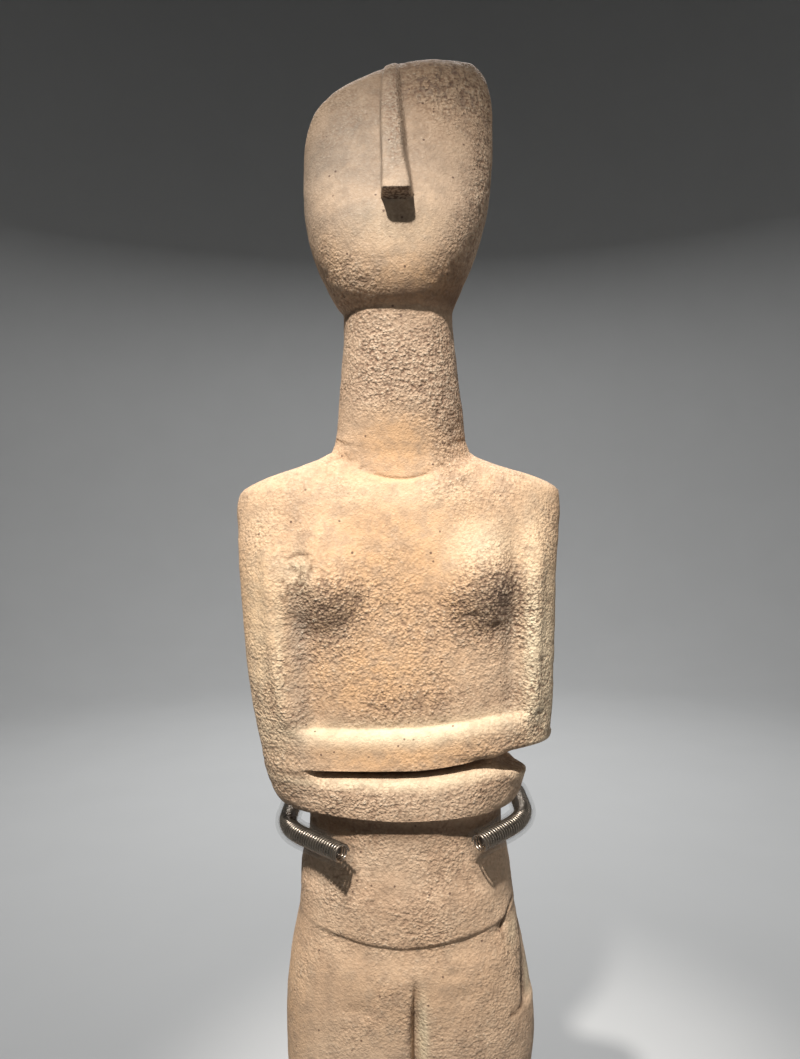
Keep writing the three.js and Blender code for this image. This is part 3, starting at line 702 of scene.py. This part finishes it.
def near_cracks(level, x):
    """One on the lines of the cracks, falling to nothing within a few millimetres."""
    nearest = np.full_like(level, 1e6)
    for line in CRACKS:
        for (x0, level0), (x1, level1) in zip(line, line[1:]):
            run = x1 - x0
            rise = level1 - level0
            along = ((x - x0) * run + (level - level0) * rise) / (run**2 + rise**2)
            along = np.clip(along, 0, 1)
            away = np.hypot(x - x0 - along * run, level - level0 - along * rise)
            nearest = np.minimum(nearest, away)
    return np.exp(-((nearest / CRACK_WIDTH) ** 2))


def hip_scar(level, x):
    """The flake lost from the hip at the viewer's right: a step inwards that fades towards the side."""
    edge = SCAR_EDGE + 1.2 * np.sin(level / 5)
    along = smooth(SCAR_BOTTOM, SCAR_BOTTOM + 6, level) * (1 - smooth(SCAR_TOP - 32, SCAR_TOP, level))
    return -SCAR_DEPTH * smooth(edge - 1.5, edge + 1, x) * along * (1 - 0.6 * smooth(104, 122, x))


def end_gap(level, x):
    """The gap between the forearms opens deeper where it runs out at the viewer's right."""
    opens = smooth(FOREARM_LOWER_TOP - 1, FOREARM_LOWER_TOP + 3, level)
    closes = smooth(FOREARM_UPPER_BOTTOM + 2, FOREARM_UPPER_BOTTOM + 8, level)
    return -GAP_DEPTH * smooth(76, 90, x) * opens * (1 - closes)


def coarseness(points, level, x, on_front):
    """How granular the stone is, from nearly smooth at 0 to rough at 1."""
    plain = 0.34 + 0.08 * smooth(720, 690, level) - 0.16 * smooth(620, 560, level) + 0.1 * (1 - on_front)
    coarse = plain + (spots(level, x, COARSE_SPOTS) - spots(level, x, SMOOTH_SPOTS)) * on_front
    return np.clip(coarse + 0.3 * noise_field(points, 40, 2, 1), 0.03, 1.3)


def wear(points, level, x, on_front, coarse, pits, cracks):
    """How far the worn surface stands out from the carved one."""
    swell = 0.7 * noise_field(points, 60, 2, 2) + 0.35 * noise_field(points, 18, 2, 3)
    grain = noise_field(points, 8, 1, 4)
    broken = spots(level, x, CHIPS) + hip_scar(level, x) - CRACK_DEPTH * cracks
    worn = swell + coarse * (0.3 * grain - 0.9 * pits) + broken * on_front + end_gap(level, x)
    return worn * smooth(0, 8, level) * (1 - smooth(CROWN - 6, CROWN, level))


def build_figurine(material):
    """The carved surface with its wear, and the fields that its finish is mixed by."""
    rows = row_levels(ROW_STOPS)
    angles = section_angles(COLUMNS_FRONT, COLUMNS_BACK)
    level, angle = np.meshgrid(rows, angles, indexing="ij")
    points = surface(level, angle)
    normals = normals_of(points)
    x = points[..., 0]
    on_front = smooth(0.2, -0.2, np.sin(angle))
    near_tip = (level > NOSE_TIP - 6) * (level < NOSE_TIP + 8)
    # Painted shade on the underside of the nose, which faces down.
    under_nose_shade = smooth(-0.6, -0.95, normals[..., 2]) * near_tip
    coarse = coarseness(points, level, x, on_front)
    pits = smooth(0.2, 0.6, noise_field(points, 9, 1, 5))
    cracks = near_cracks(level, x) * on_front
    worn = wear(points, level, x, on_front, coarse, pits, cracks)
    points = points + normals * worn[..., None]
    points[..., 2] += TOE_HEIGHT

    columns = len(angles)
    faces = grid_faces(len(rows), columns)
    faces += cap_triangles(0, False)
    faces += cap_triangles((len(rows) - 1) * columns, True)
    piece = make_piece("figurine_surface", points.reshape(-1, 3), faces, material)
    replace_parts(piece, "figurine")
    fields = {
        "coarse": coarse,
        "grey": spots(level, x, GREY_SPOTS) * on_front + 0.35 * (1 - on_front),
        "warm": spots(level, x, WARM_SPOTS) * on_front,
        "pale": spots(level, x, PALE_SPOTS) * on_front,
        "pitted": coarse * pits,
        "dark": spots(level, x, DARK_SPOTS) * on_front + under_nose_shade,
        # Painted shade, with the real dark of the cracks added to it.
        "shade": spots(level, x, SHADE_SPOTS) * on_front + 0.75 * cracks,
        "cracked": spots(level, x, CRACKED_SPOTS) * on_front,
        "streaked": spots(level, x, STREAKED_SPOTS) * on_front,
    }
    for name, values in fields.items():
        attribute = piece.data.attributes.new(name, "FLOAT", "POINT")
        attribute.data.foreach_set("value", np.clip(values, 0, 1.3).reshape(-1).astype(np.float32))


class Finish:
    """A procedural material under construction."""

    def __init__(self, name, colour, roughness, metallic=0.0):
        self.material = bpy.data.materials.new(name)
        self.material.use_nodes = True
        self.nodes = self.material.node_tree.nodes
        self.shader = self.nodes["Principled BSDF"]
        self.set("Base Color", (*colour, 1))
        self.set("Roughness", roughness)
        self.set("Metallic", metallic)
        self.place = self.nodes.new("ShaderNodeTexCoord").outputs["Object"]

    def set(self, socket, value):
        """Sets a value that is the same all over the surface."""
        self.shader.inputs[socket].default_value = value

    def link(self, output, target):
        if isinstance(target, str):
            target = self.shader.inputs[target]
        self.material.node_tree.links.new(output, target)

    def feed(self, value, socket):
        if isinstance(value, bpy.types.NodeSocket):
            self.link(value, socket)
        else:
            socket.default_value = value

    def stretched(self, scale, turn=0.0):
        """The place in the object, scaled, and turned about Y by degrees."""
        node = self.nodes.new("ShaderNodeMapping")
        node.inputs["Scale"].default_value = scale
        node.inputs["Rotation"].default_value = (0, math.radians(turn), 0)
        self.link(self.place, node.inputs["Vector"])
        return node.outputs[0]

    def noise(self, size, detail=3.0, rough=0.5, place=None):
        """Noise between 0 and 1 with features about size millimetres across."""
        node = self.nodes.new("ShaderNodeTexNoise")
        node.inputs["Scale"].default_value = 1000 / size
        node.inputs["Detail"].default_value = detail
        node.inputs["Roughness"].default_value = rough
        self.link(place or self.place, node.inputs["Vector"])
        return node.outputs[0]

    def cells(self, size):
        """The distance from the middle of the nearest cell. Cells are about size millimetres across."""
        node = self.nodes.new("ShaderNodeTexVoronoi")
        node.inputs["Scale"].default_value = 1000 / size
        self.link(self.place, node.inputs["Vector"])
        return node.outputs["Distance"]

    def attribute(self, name):
        """A field of the mesh."""
        node = self.nodes.new("ShaderNodeAttribute")
        node.attribute_name = name
        return node.outputs["Fac"]

    def range(self, value, low, high, to_low=0.0, to_high=1.0):
        """The value eased from the range low to high into the range to_low to to_high."""
        node = self.nodes.new("ShaderNodeMapRange")
        node.interpolation_type = "SMOOTHSTEP"
        self.feed(value, node.inputs["Value"])
        node.inputs["From Min"].default_value = low
        node.inputs["From Max"].default_value = high
        node.inputs["To Min"].default_value = to_low
        node.inputs["To Max"].default_value = to_high
        return node.outputs[0]

    def math(self, operation, a, b):
        node = self.nodes.new("ShaderNodeMath")
        node.operation = operation
        self.feed(a, node.inputs[0])
        self.feed(b, node.inputs[1])
        return node.outputs[0]

    def mix(self, factor, a, b, blend="MIX"):
        node = self.nodes.new("ShaderNodeMix")
        node.data_type = "RGBA"
        node.blend_type = blend
        self.feed(factor, node.inputs["Factor"])
        for value, socket in ((a, node.inputs[6]), (b, node.inputs[7])):
            self.feed(value if isinstance(value, bpy.types.NodeSocket) else (*value, 1), socket)
        return node.outputs[2]

    def bump(self, height, depth, normal=None):
        """Raises the shading normal by a height from 0 to 1 that stands for depth millimetres."""
        node = self.nodes.new("ShaderNodeBump")
        node.inputs["Distance"].default_value = depth * MM
        self.link(height, node.inputs["Height"])
        if normal:
            self.link(normal, node.inputs["Normal"])
        return node.outputs[0]


# The tones of the stone, and the colours of the painted highlight and the painted shade that are mixed into
# them.
TAN_DARK = (0.56, 0.375, 0.24)
TAN_LIGHT = (0.66, 0.47, 0.315)
ORANGE_PATINA = (0.74, 0.45, 0.235)
GREY_AND_SHADED_STONE = (0.36, 0.28, 0.21)
LIT_AND_WORN_STONE = (0.84, 0.68, 0.46)
CRUMB_TOP = (0.86, 0.72, 0.54)
HOLLOW_BROWN = (0.27, 0.16, 0.10)
PIT_BROWN = (0.21, 0.13, 0.085)
SHADE_AND_PIT_BROWN = (0.12, 0.075, 0.05)
SHADE_BROWN = (0.13, 0.065, 0.03)
CRACK_BROWN = (0.14, 0.085, 0.055)
SCORE_BROWN = (0.2, 0.13, 0.1)
SPECK_BROWN = (0.09, 0.045, 0.03)


def patina(finish, cloud, patch):
    """The broad tones of the stone: tan clouds with orange places, grey places that are partly painted shade,
    and worn places that are mostly painted highlights, lightly mottled.
    """
    tan = finish.mix(finish.range(cloud, 0.3, 0.7), TAN_DARK, TAN_LIGHT)
    warm = finish.math("MULTIPLY", finish.attribute("warm"), finish.range(patch, 0.25, 0.65, 0.35, 1))
    tone = finish.mix(warm, tan, ORANGE_PATINA)
    # Grey places: partly grey patina, partly painted shade and a painted dimming of the head and the hips.
    grey = finish.math("MULTIPLY", finish.attribute("grey"), finish.range(cloud, 0.7, 0.25, 0.55, 1))
    tone = finish.mix(grey, tone, GREY_AND_SHADED_STONE)
    # Paler places: mostly painted highlights on lit edges and tops, partly real wear.
    tone = finish.mix(finish.attribute("pale"), tone, LIT_AND_WORN_STONE)
    mottle = finish.range(patch, 0.3, 0.7, 0.82, 1.1)
    return finish.mix(1.0, tone, finish.mix(mottle, (0, 0, 0), (1, 1, 1)), "MULTIPLY")


def grain_tone(finish, tone, rough, coarse):
    """The granular skin: brown hollows, pale crumbs and pits, then painted shade mottled by the grain (partly
    the dark pitting under the breasts), and last an even painted shade with the dark of the cracks.
    """
    hollow = finish.math("MULTIPLY", finish.range(rough, 0.5, 0.28), finish.range(coarse, 0, 1, 0.12, 0.95))
    tone = finish.mix(hollow, tone, HOLLOW_BROWN)
    crumb = finish.math("MULTIPLY", finish.range(rough, 0.5, 0.72), finish.range(coarse, 0, 1, 0.12, 0.75))
    tone = finish.mix(crumb, tone, CRUMB_TOP)
    pitted = finish.math("MULTIPLY", finish.attribute("pitted"), 0.5)
    tone = finish.mix(pitted, tone, PIT_BROWN)
    # Painted shade, mottled by the grain, partly the stone's dark pitting under the breasts.
    shade_and_pits = finish.math("MULTIPLY", finish.attribute("dark"), finish.range(rough, 0.56, 0.36, 0.2, 1))
    tone = finish.mix(shade_and_pits, tone, SHADE_AND_PIT_BROWN)
    # An even painted shade, and the dark of the cracks.
    return finish.mix(finish.attribute("shade"), tone, SHADE_BROWN)


def marble_finish():
    finish = Finish("weathered_marble", (0.62, 0.42, 0.27), 0.75)
    coarse = finish.attribute("coarse")
    cloud = finish.noise(40, 4, 0.55)
    patch = finish.noise(12, 4, 0.6)
    grain = finish.noise(3.3, 3, 0.55)
    crumbs = finish.cells(2.6)
    fine = finish.noise(1.3, 2, 0.6)
    rough = finish.math("ADD", finish.math("MULTIPLY", grain, 0.65), finish.math("MULTIPLY", crumbs, -0.3))
    rough = finish.math("ADD", rough, 0.28)
    tone = grain_tone(finish, patina(finish, cloud, patch), rough, coarse)

    seam = finish.range(finish.math("ABSOLUTE", finish.math("SUBTRACT", patch, 0.5), 0), 0.022, 0.006)
    crack = finish.math("MULTIPLY", seam, finish.range(finish.attribute("cracked"), 0.2, 0.7))
    tone = finish.mix(finish.math("MULTIPLY", crack, 0.75), tone, CRACK_BROWN)
    streak = finish.noise(5, 3, 0.6, finish.stretched((1, 1, 0.3), 52))
    scored = finish.math("MULTIPLY", finish.range(streak, 0.5, 0.36), finish.attribute("streaked"))
    tone = finish.mix(finish.math("MULTIPLY", scored, 0.6), tone, SCORE_BROWN)
    speck = finish.range(finish.cells(9), 0.15, 0.09)
    speck = finish.math("MULTIPLY", speck, finish.range(finish.noise(24, 2), 0.52, 0.58))
    tone = finish.mix(finish.math("MULTIPLY", speck, 0.8), tone, SPECK_BROWN)
    finish.link(tone, "Base Color")
    finish.link(finish.range(rough, 0.3, 0.75, 0.85, 0.62), "Roughness")

    height = finish.math("MULTIPLY", rough, finish.range(coarse, 0, 1, 0.22, 1.4))
    height = finish.math("SUBTRACT", height, finish.math("MULTIPLY", finish.math("ADD", crack, scored), 0.3))
    normal = finish.bump(height, 3.0)
    finish.link(finish.bump(fine, 0.5, normal), "Normal")
    return finish.material


def powder_coat_finish(name, colour):
    """Fine orange peel with a little dust."""
    finish = Finish(name, colour, 0.5)
    orange_peel = finish.noise(1.6, 2, 0.5)
    dust = finish.noise(60, 4, 0.6)
    pale = tuple(min(1, 1.35 * c + 0.012) for c in colour)
    finish.link(finish.mix(finish.range(dust, 0.42, 0.75), colour, pale), "Base Color")
    finish.link(finish.range(dust, 0.3, 0.75, 0.42, 0.62), "Roughness")
    finish.link(finish.bump(orange_peel, 0.12), "Normal")
    return finish.material


def steel_finish(name, colour, low_rough, high_rough, scratch=0.05):
    """Drawn steel, smudged, with fine scratches."""
    finish = Finish(name, colour, low_rough, 1.0)
    smudge = finish.noise(9, 4, 0.6)
    streak = finish.noise(1.1, 3, 0.6, finish.stretched((1, 1, 0.12)))
    dull = tuple(0.62 * c for c in colour)
    finish.link(finish.mix(finish.range(smudge, 0.4, 0.75, 0, 0.75), colour, dull), "Base Color")
    finish.link(finish.range(smudge, 0.3, 0.75, low_rough, high_rough), "Roughness")
    finish.link(finish.bump(streak, scratch), "Normal")
    return finish.material


def clear_finish():
    """Clear plastic tube with a faint haze."""
    finish = Finish("clear_tube", (0.1, 0.09, 0.075), 0.06)
    haze = finish.noise(7, 4, 0.6)
    tint = finish.mix(finish.range(haze, 0.45, 0.8), (0.07, 0.062, 0.05), (0.17, 0.15, 0.12))
    finish.link(tint, "Base Color")
    finish.link(finish.range(haze, 0.35, 0.8, 0.04, 0.14), "Roughness")
    finish.link(finish.bump(finish.noise(14, 2, 0.5), 0.25), "Normal")
    finish.set("Alpha", 0.13)
    finish.set("Specular IOR Level", 0.3)
    finish.set("IOR", 1.5)
    return finish.material


# Driving sizes of the stand, the same as in the part.
CRADLE_HEIGHT = 726
CRADLE_TILT = 0.03
CRADLE_PITCH = 0.05
CRADLE_ROD = 4.6
CRADLE_BAR_Y = 68
CRADLE_SIDE_X = 107
CRADLE_TURN_Y = -14.5
ROD_RECESS = 9
# The corners of the cradle seen from above: x, y and how far before the corner the bend starts.
CRADLE_CORNERS = [
    (-50, -71.5, 0),
    (-CRADLE_SIDE_X, CRADLE_TURN_Y, 26),
    (-CRADLE_SIDE_X, CRADLE_BAR_Y, 28),
    (CRADLE_SIDE_X, CRADLE_BAR_Y, 28),
    (CRADLE_SIDE_X, CRADLE_TURN_Y, 26),
    (58, -63.5, 0),
]
COIL_OUTER = 7.9
COIL_WIRE = 0.95
COIL_PITCH = 3.1
COIL_RECESS = 3
SLEEVE_INNER = 9.1
SLEEVE_OUTER = 11.7
SLEEVE_REACH = 174
SLEEVE_LIP = 0.9
POST_RADIUS = 9
POST_Y = 92
POST_TOP = 754
POST_EASE = 1.5
PLATE_THICK = 15
GAP = 0.3
PLATE_EASE = 0.8
SCREW_EASE = 0.3


class Path:
    """A path in a plane, with sections square to it."""

    def __init__(self, points, normal):
        self.points = np.array(points, dtype=float)
        self.normal = np.array(normal, dtype=float) / np.linalg.norm(normal)
        steps = np.linalg.norm(np.diff(self.points, axis=0), axis=1)
        self.along = np.concatenate([[0], np.cumsum(steps)])
        self.length = self.along[-1]

    def at(self, distance):
        """The point at a distance along the path."""
        return np.stack([np.interp(distance, self.along, self.points[:, k]) for k in range(3)], axis=-1)

    def around(self, distance, angle, radius):
        """The point at this radius and angle round the path, at a distance along it."""
        ahead = self.at(distance + 0.5) - self.at(distance - 0.5)
        side = np.cross(ahead, self.normal)
        side = side / np.linalg.norm(side, axis=-1, keepdims=True)
        across = side * np.cos(angle)[..., None] + self.normal * np.sin(angle)[..., None]
        return self.at(distance) + across * np.asarray(radius)[..., None]


def cradle_path():
    """The cradle's rod from its end at the viewer's left to its end at the right."""
    corners = [np.array(corner[:2], dtype=float) for corner in CRADLE_CORNERS]
    flat = [corners[0]]
    for i in range(1, len(corners) - 1):
        cut = CRADLE_CORNERS[i][2]
        towards = [corners[i + side] - corners[i] for side in (-1, 1)]
        before, after = [corners[i] + cut * v / np.linalg.norm(v) for v in towards]
        for t in np.linspace(0, 1, 13):
            flat.append((1 - t) ** 2 * before + 2 * t * (1 - t) * corners[i] + t**2 * after)
    flat.append(corners[-1])
    points = [(x, y, CRADLE_HEIGHT + CRADLE_TILT * x + CRADLE_PITCH * y) for x, y in flat]
    return Path(points, (-CRADLE_TILT, -CRADLE_PITCH, 1))


def turned(name, path, profile, sides, material, closed=False):
    """A profile of distances along the path and radii, turned round the path."""
    distance, radius = np.array(profile, dtype=float).T
    angle = np.arange(sides) / sides * 2 * math.pi
    rings = [path.around(np.full(sides, d), angle, np.full(sides, r)) for d, r in zip(distance, radius)]
    faces = [face[::-1] for face in grid_faces(len(rings), sides, closed)]
    if not closed:
        faces.append(list(range(sides)))
        faces.append(list(range((len(rings) - 1) * sides, len(rings) * sides))[::-1])
    return make_piece(name, np.concatenate(rings), faces, material)


def eased(start, end, radius, ease, spacing=None):
    """The profile of a bar from start to end whose edges are rounded off by ease."""
    steps = 4
    quarter = [k / steps * math.pi / 2 for k in range(steps + 1)]
    first = [(start + ease * (1 - math.sin(a)), radius - ease * (1 - math.cos(a))) for a in quarter[::-1]]
    last = [(start + end - d, r) for d, r in first[::-1]]
    count = max(1, round((end - start) / spacing)) if spacing else 1
    inner = np.linspace(start + ease, end - ease, count + 1)[1:-1]
    return first + [(d, radius) for d in inner] + last


def tube(start, end, outer, inner, lip, spacing):
    """A closed profile: along the outside, round the lip, back along the inside and round the other lip."""
    middle = (outer + inner) / 2
    half = (outer - inner) / 2
    count = round(abs(end - start) / spacing)
    direction = math.copysign(1, end - start)
    sweep = np.linspace(0, math.pi, 9)[1:-1]
    outside = [(d, outer) for d in np.linspace(start + direction * lip, end - direction * lip, count)]
    far = [(end - direction * lip * (1 - math.sin(a)), middle + half * math.cos(a)) for a in sweep]
    inside = [(d, inner) for d in np.linspace(end - direction * lip, start + direction * lip, count)]
    near = [(start + direction * lip * (1 - math.sin(a)), middle - half * math.cos(a)) for a in sweep]
    return outside + far + inside + near


def build_coil(name, path, start, end, material):
    """A close-wound spring round the path."""
    turns = abs(end - start) / COIL_PITCH
    direction = math.copysign(1, end - start)
    per_turn = 24
    sides = 8
    count = round(turns * per_turn)
    t = np.arange(count + 1) / per_turn
    distance = start + direction * COIL_PITCH * t
    angle = 2 * math.pi * t
    radius = COIL_OUTER - COIL_WIRE
    around = np.arange(sides) / sides * 2 * math.pi
    rings = []
    for k in around:
        along = distance + COIL_WIRE * math.sin(k)
        rings.append(path.around(along, angle, np.full(len(t), radius + COIL_WIRE * math.cos(k))))
    points = np.stack(rings, axis=1).reshape(-1, 3)
    faces = grid_faces(count + 1, sides)
    faces.append(list(range(sides))[::-1])
    faces.append(list(range(count * sides, (count + 1) * sides)))
    if direction < 0:
        faces = [face[::-1] for face in faces]
    return make_piece(name, points, faces, material)


def bevelled_copy(name, node, width, material):
    """The node's own shape with its sharp edges rounded."""
    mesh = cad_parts[node].data.copy()
    mesh.name = name
    mesh.materials.clear()
    mesh.materials.append(material)
    piece = bpy.data.objects.new(name, mesh)
    bpy.context.collection.objects.link(piece)
    weld = piece.modifiers.new("weld", "WELD")
    weld.merge_threshold = 0.02 * MM
    bevel = piece.modifiers.new("bevel", "BEVEL")
    bevel.width = width * MM
    bevel.segments = 3
    bevel.limit_method = "ANGLE"
    bevel.angle_limit = math.radians(40)
    bevel.harden_normals = True
    mesh.shade_smooth()
    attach(piece, "root")
    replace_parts(piece, node)


marble = marble_finish()
dark_metal = powder_coat_finish("dark_powder_coat", (0.03, 0.031, 0.034))
# The rod's steel is darker than bare steel: painted shade for the dark gaps between the coils wound round it.
rod_steel = steel_finish("drawn_steel", (0.17, 0.155, 0.14), 0.3, 0.5)
coil_steel = steel_finish("spring_steel", (0.46, 0.395, 0.33), 0.24, 0.42, 0.02)
screw_steel = steel_finish("screw_steel", (0.5, 0.49, 0.47), 0.22, 0.4)
clear = clear_finish()

build_figurine(marble)

cradle = cradle_path()
rod_profile = eased(ROD_RECESS, cradle.length - ROD_RECESS, CRADLE_ROD, 0.8, 4)
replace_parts(turned("cradle_rod_bent", cradle, rod_profile, 24, rod_steel), "cradle_rod")
for side, start, end in (("left", 0, SLEEVE_REACH), ("right", cradle.length, cradle.length - SLEEVE_REACH)):
    recess = math.copysign(COIL_RECESS, end - start)
    coil = build_coil(f"coil_{side}_wound", cradle, start + recess, end - recess, coil_steel)
    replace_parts(coil, f"coil_{side}")
    profile = tube(start, end, SLEEVE_OUTER, SLEEVE_INNER, SLEEVE_LIP, 3)
    sleeve = turned(f"sleeve_{side}_clear", cradle, profile, 40, clear, True)
    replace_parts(sleeve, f"sleeve_{side}")

post_foot = PLATE_THICK + GAP
post_path = Path([(0, POST_Y, 0), (0, POST_Y, POST_TOP + 10)], (1, 0, 0))
post_profile = eased(post_foot, POST_TOP, POST_RADIUS, POST_EASE)
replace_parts(turned("post_round", post_path, post_profile, 64, dark_metal), "post")

for node in ("base_plate", "toe_rest", "post_socket", "clamp_block"):
    bevelled_copy(f"{node}_eased", node, PLATE_EASE, dark_metal)
for node in ("socket_screw_1", "socket_screw_2", "socket_screw_3", "socket_screw_4", "clamp_screw"):
    bevelled_copy(f"{node}_eased", node, SCREW_EASE, screw_steel)


# The stage: a round pale floor that turns up into a wall far outside the object, in metres.
FLOOR_RADIUS = 4.2
COVE_RADIUS = 1.6
WALL_TOP = 6.5


def stage_finish():
    finish = Finish("stage_paper", (0.6, 0.6, 0.6), 0.9)
    finish.link(finish.mix(finish.noise(300, 3), (0.5, 0.5, 0.495), (0.53, 0.53, 0.525)), "Base Color")
    finish.link(finish.bump(finish.noise(2, 2), 0.05), "Normal")
    return finish.material


def build_stage():
    sides = 96
    cove = [k / 12 * math.pi / 2 for k in range(13)]
    profile = [(0.02, 0.0), (FLOOR_RADIUS / 2, 0.0)]
    profile += [(FLOOR_RADIUS + COVE_RADIUS * math.sin(a), COVE_RADIUS * (1 - math.cos(a))) for a in cove]
    profile.append((FLOOR_RADIUS + COVE_RADIUS, WALL_TOP))
    angle = np.arange(sides) / sides * 2 * math.pi
    rings = [np.stack([r * np.cos(angle), r * np.sin(angle), np.full(sides, z)], axis=-1) for r, z in profile]
    faces = grid_faces(len(rings), sides)
    faces.append(list(range(sides))[::-1])
    mesh = bpy.data.meshes.new("stage_floor")
    mesh.from_pydata(np.concatenate(rings).tolist(), [], faces)
    mesh.shade_smooth()
    mesh.materials.append(stage_finish())
    stage = bpy.data.objects.new("stage_floor", mesh)
    bpy.context.collection.objects.link(stage)


def place_light(name, data, place, target, power, colour):
    """Puts a light at a place, in metres, and turns it to its target."""
    data.energy = power
    data.color = colour
    light = bpy.data.objects.new(name, data)
    light.location = place
    light.rotation_euler = (Vector(target) - Vector(place)).to_track_quat("-Z", "Y").to_euler()
    bpy.context.collection.objects.link(light)


def area_light(name, place, target, size, power, colour):
    data = bpy.data.lights.new(name, "AREA")
    data.shape = "DISK"
    data.size = size
    place_light(name, data, place, target, power, colour)


def spot_light(name, place, target, radius, beam, power, colour):
    data = bpy.data.lights.new(name, "SPOT")
    data.shadow_soft_size = radius
    data.spot_size = math.radians(beam)
    data.spot_blend = 1.0
    place_light(name, data, place, target, power, colour)


WARM_WHITE = (1.0, 0.965, 0.92)
SOFT_WHITE = (1.0, 0.97, 0.94)
COOL_WHITE = (0.98, 0.99, 1.0)

build_stage()
spot_light("key", (-0.38, -1.35, 2.85), (0, 0, 0.72), 0.05, 24, 440, WARM_WHITE)
area_light("fill_left", (-1.9, -1.6, 1.3), (0, 0, 0.9), 1.6, 1.2, SOFT_WHITE)
area_light("fill_right", (1.9, -1.4, 1.2), (0, 0, 0.9), 1.6, 7, SOFT_WHITE)
area_light("overhead", (0.0, 2.4, 3.4), (0, 2.2, 0), 2.5, 130, COOL_WHITE)

world = bpy.data.worlds.new("studio")
world.use_nodes = True
background = world.node_tree.nodes["Background"]
background.inputs["Color"].default_value = (0.62, 0.63, 0.65, 1)
background.inputs["Strength"].default_value = 0.035
bpy.context.scene.world = world
bpy.context.scene.view_settings.view_transform = "Standard"

# The photograph's camera: close to the figure, level, at chest height and turned a little about its own axis.
CAMERA_PLACE = (-0.0018, -0.72, 0.985)
CAMERA_ROLL = -0.7
CAMERA_LENS = 27.09
camera_data = bpy.data.cameras.new("photo_camera")
camera_data.lens = CAMERA_LENS
camera_data.sensor_width = 36
camera = bpy.data.objects.new("photo_camera", camera_data)
level_view = Matrix.Rotation(math.radians(90), 4, "X")
roll = Matrix.Rotation(math.radians(CAMERA_ROLL), 4, "Z")
camera.matrix_world = Matrix.Translation(CAMERA_PLACE) @ level_view @ roll
bpy.context.collection.objects.link(camera)
bpy.context.scene.camera = camera
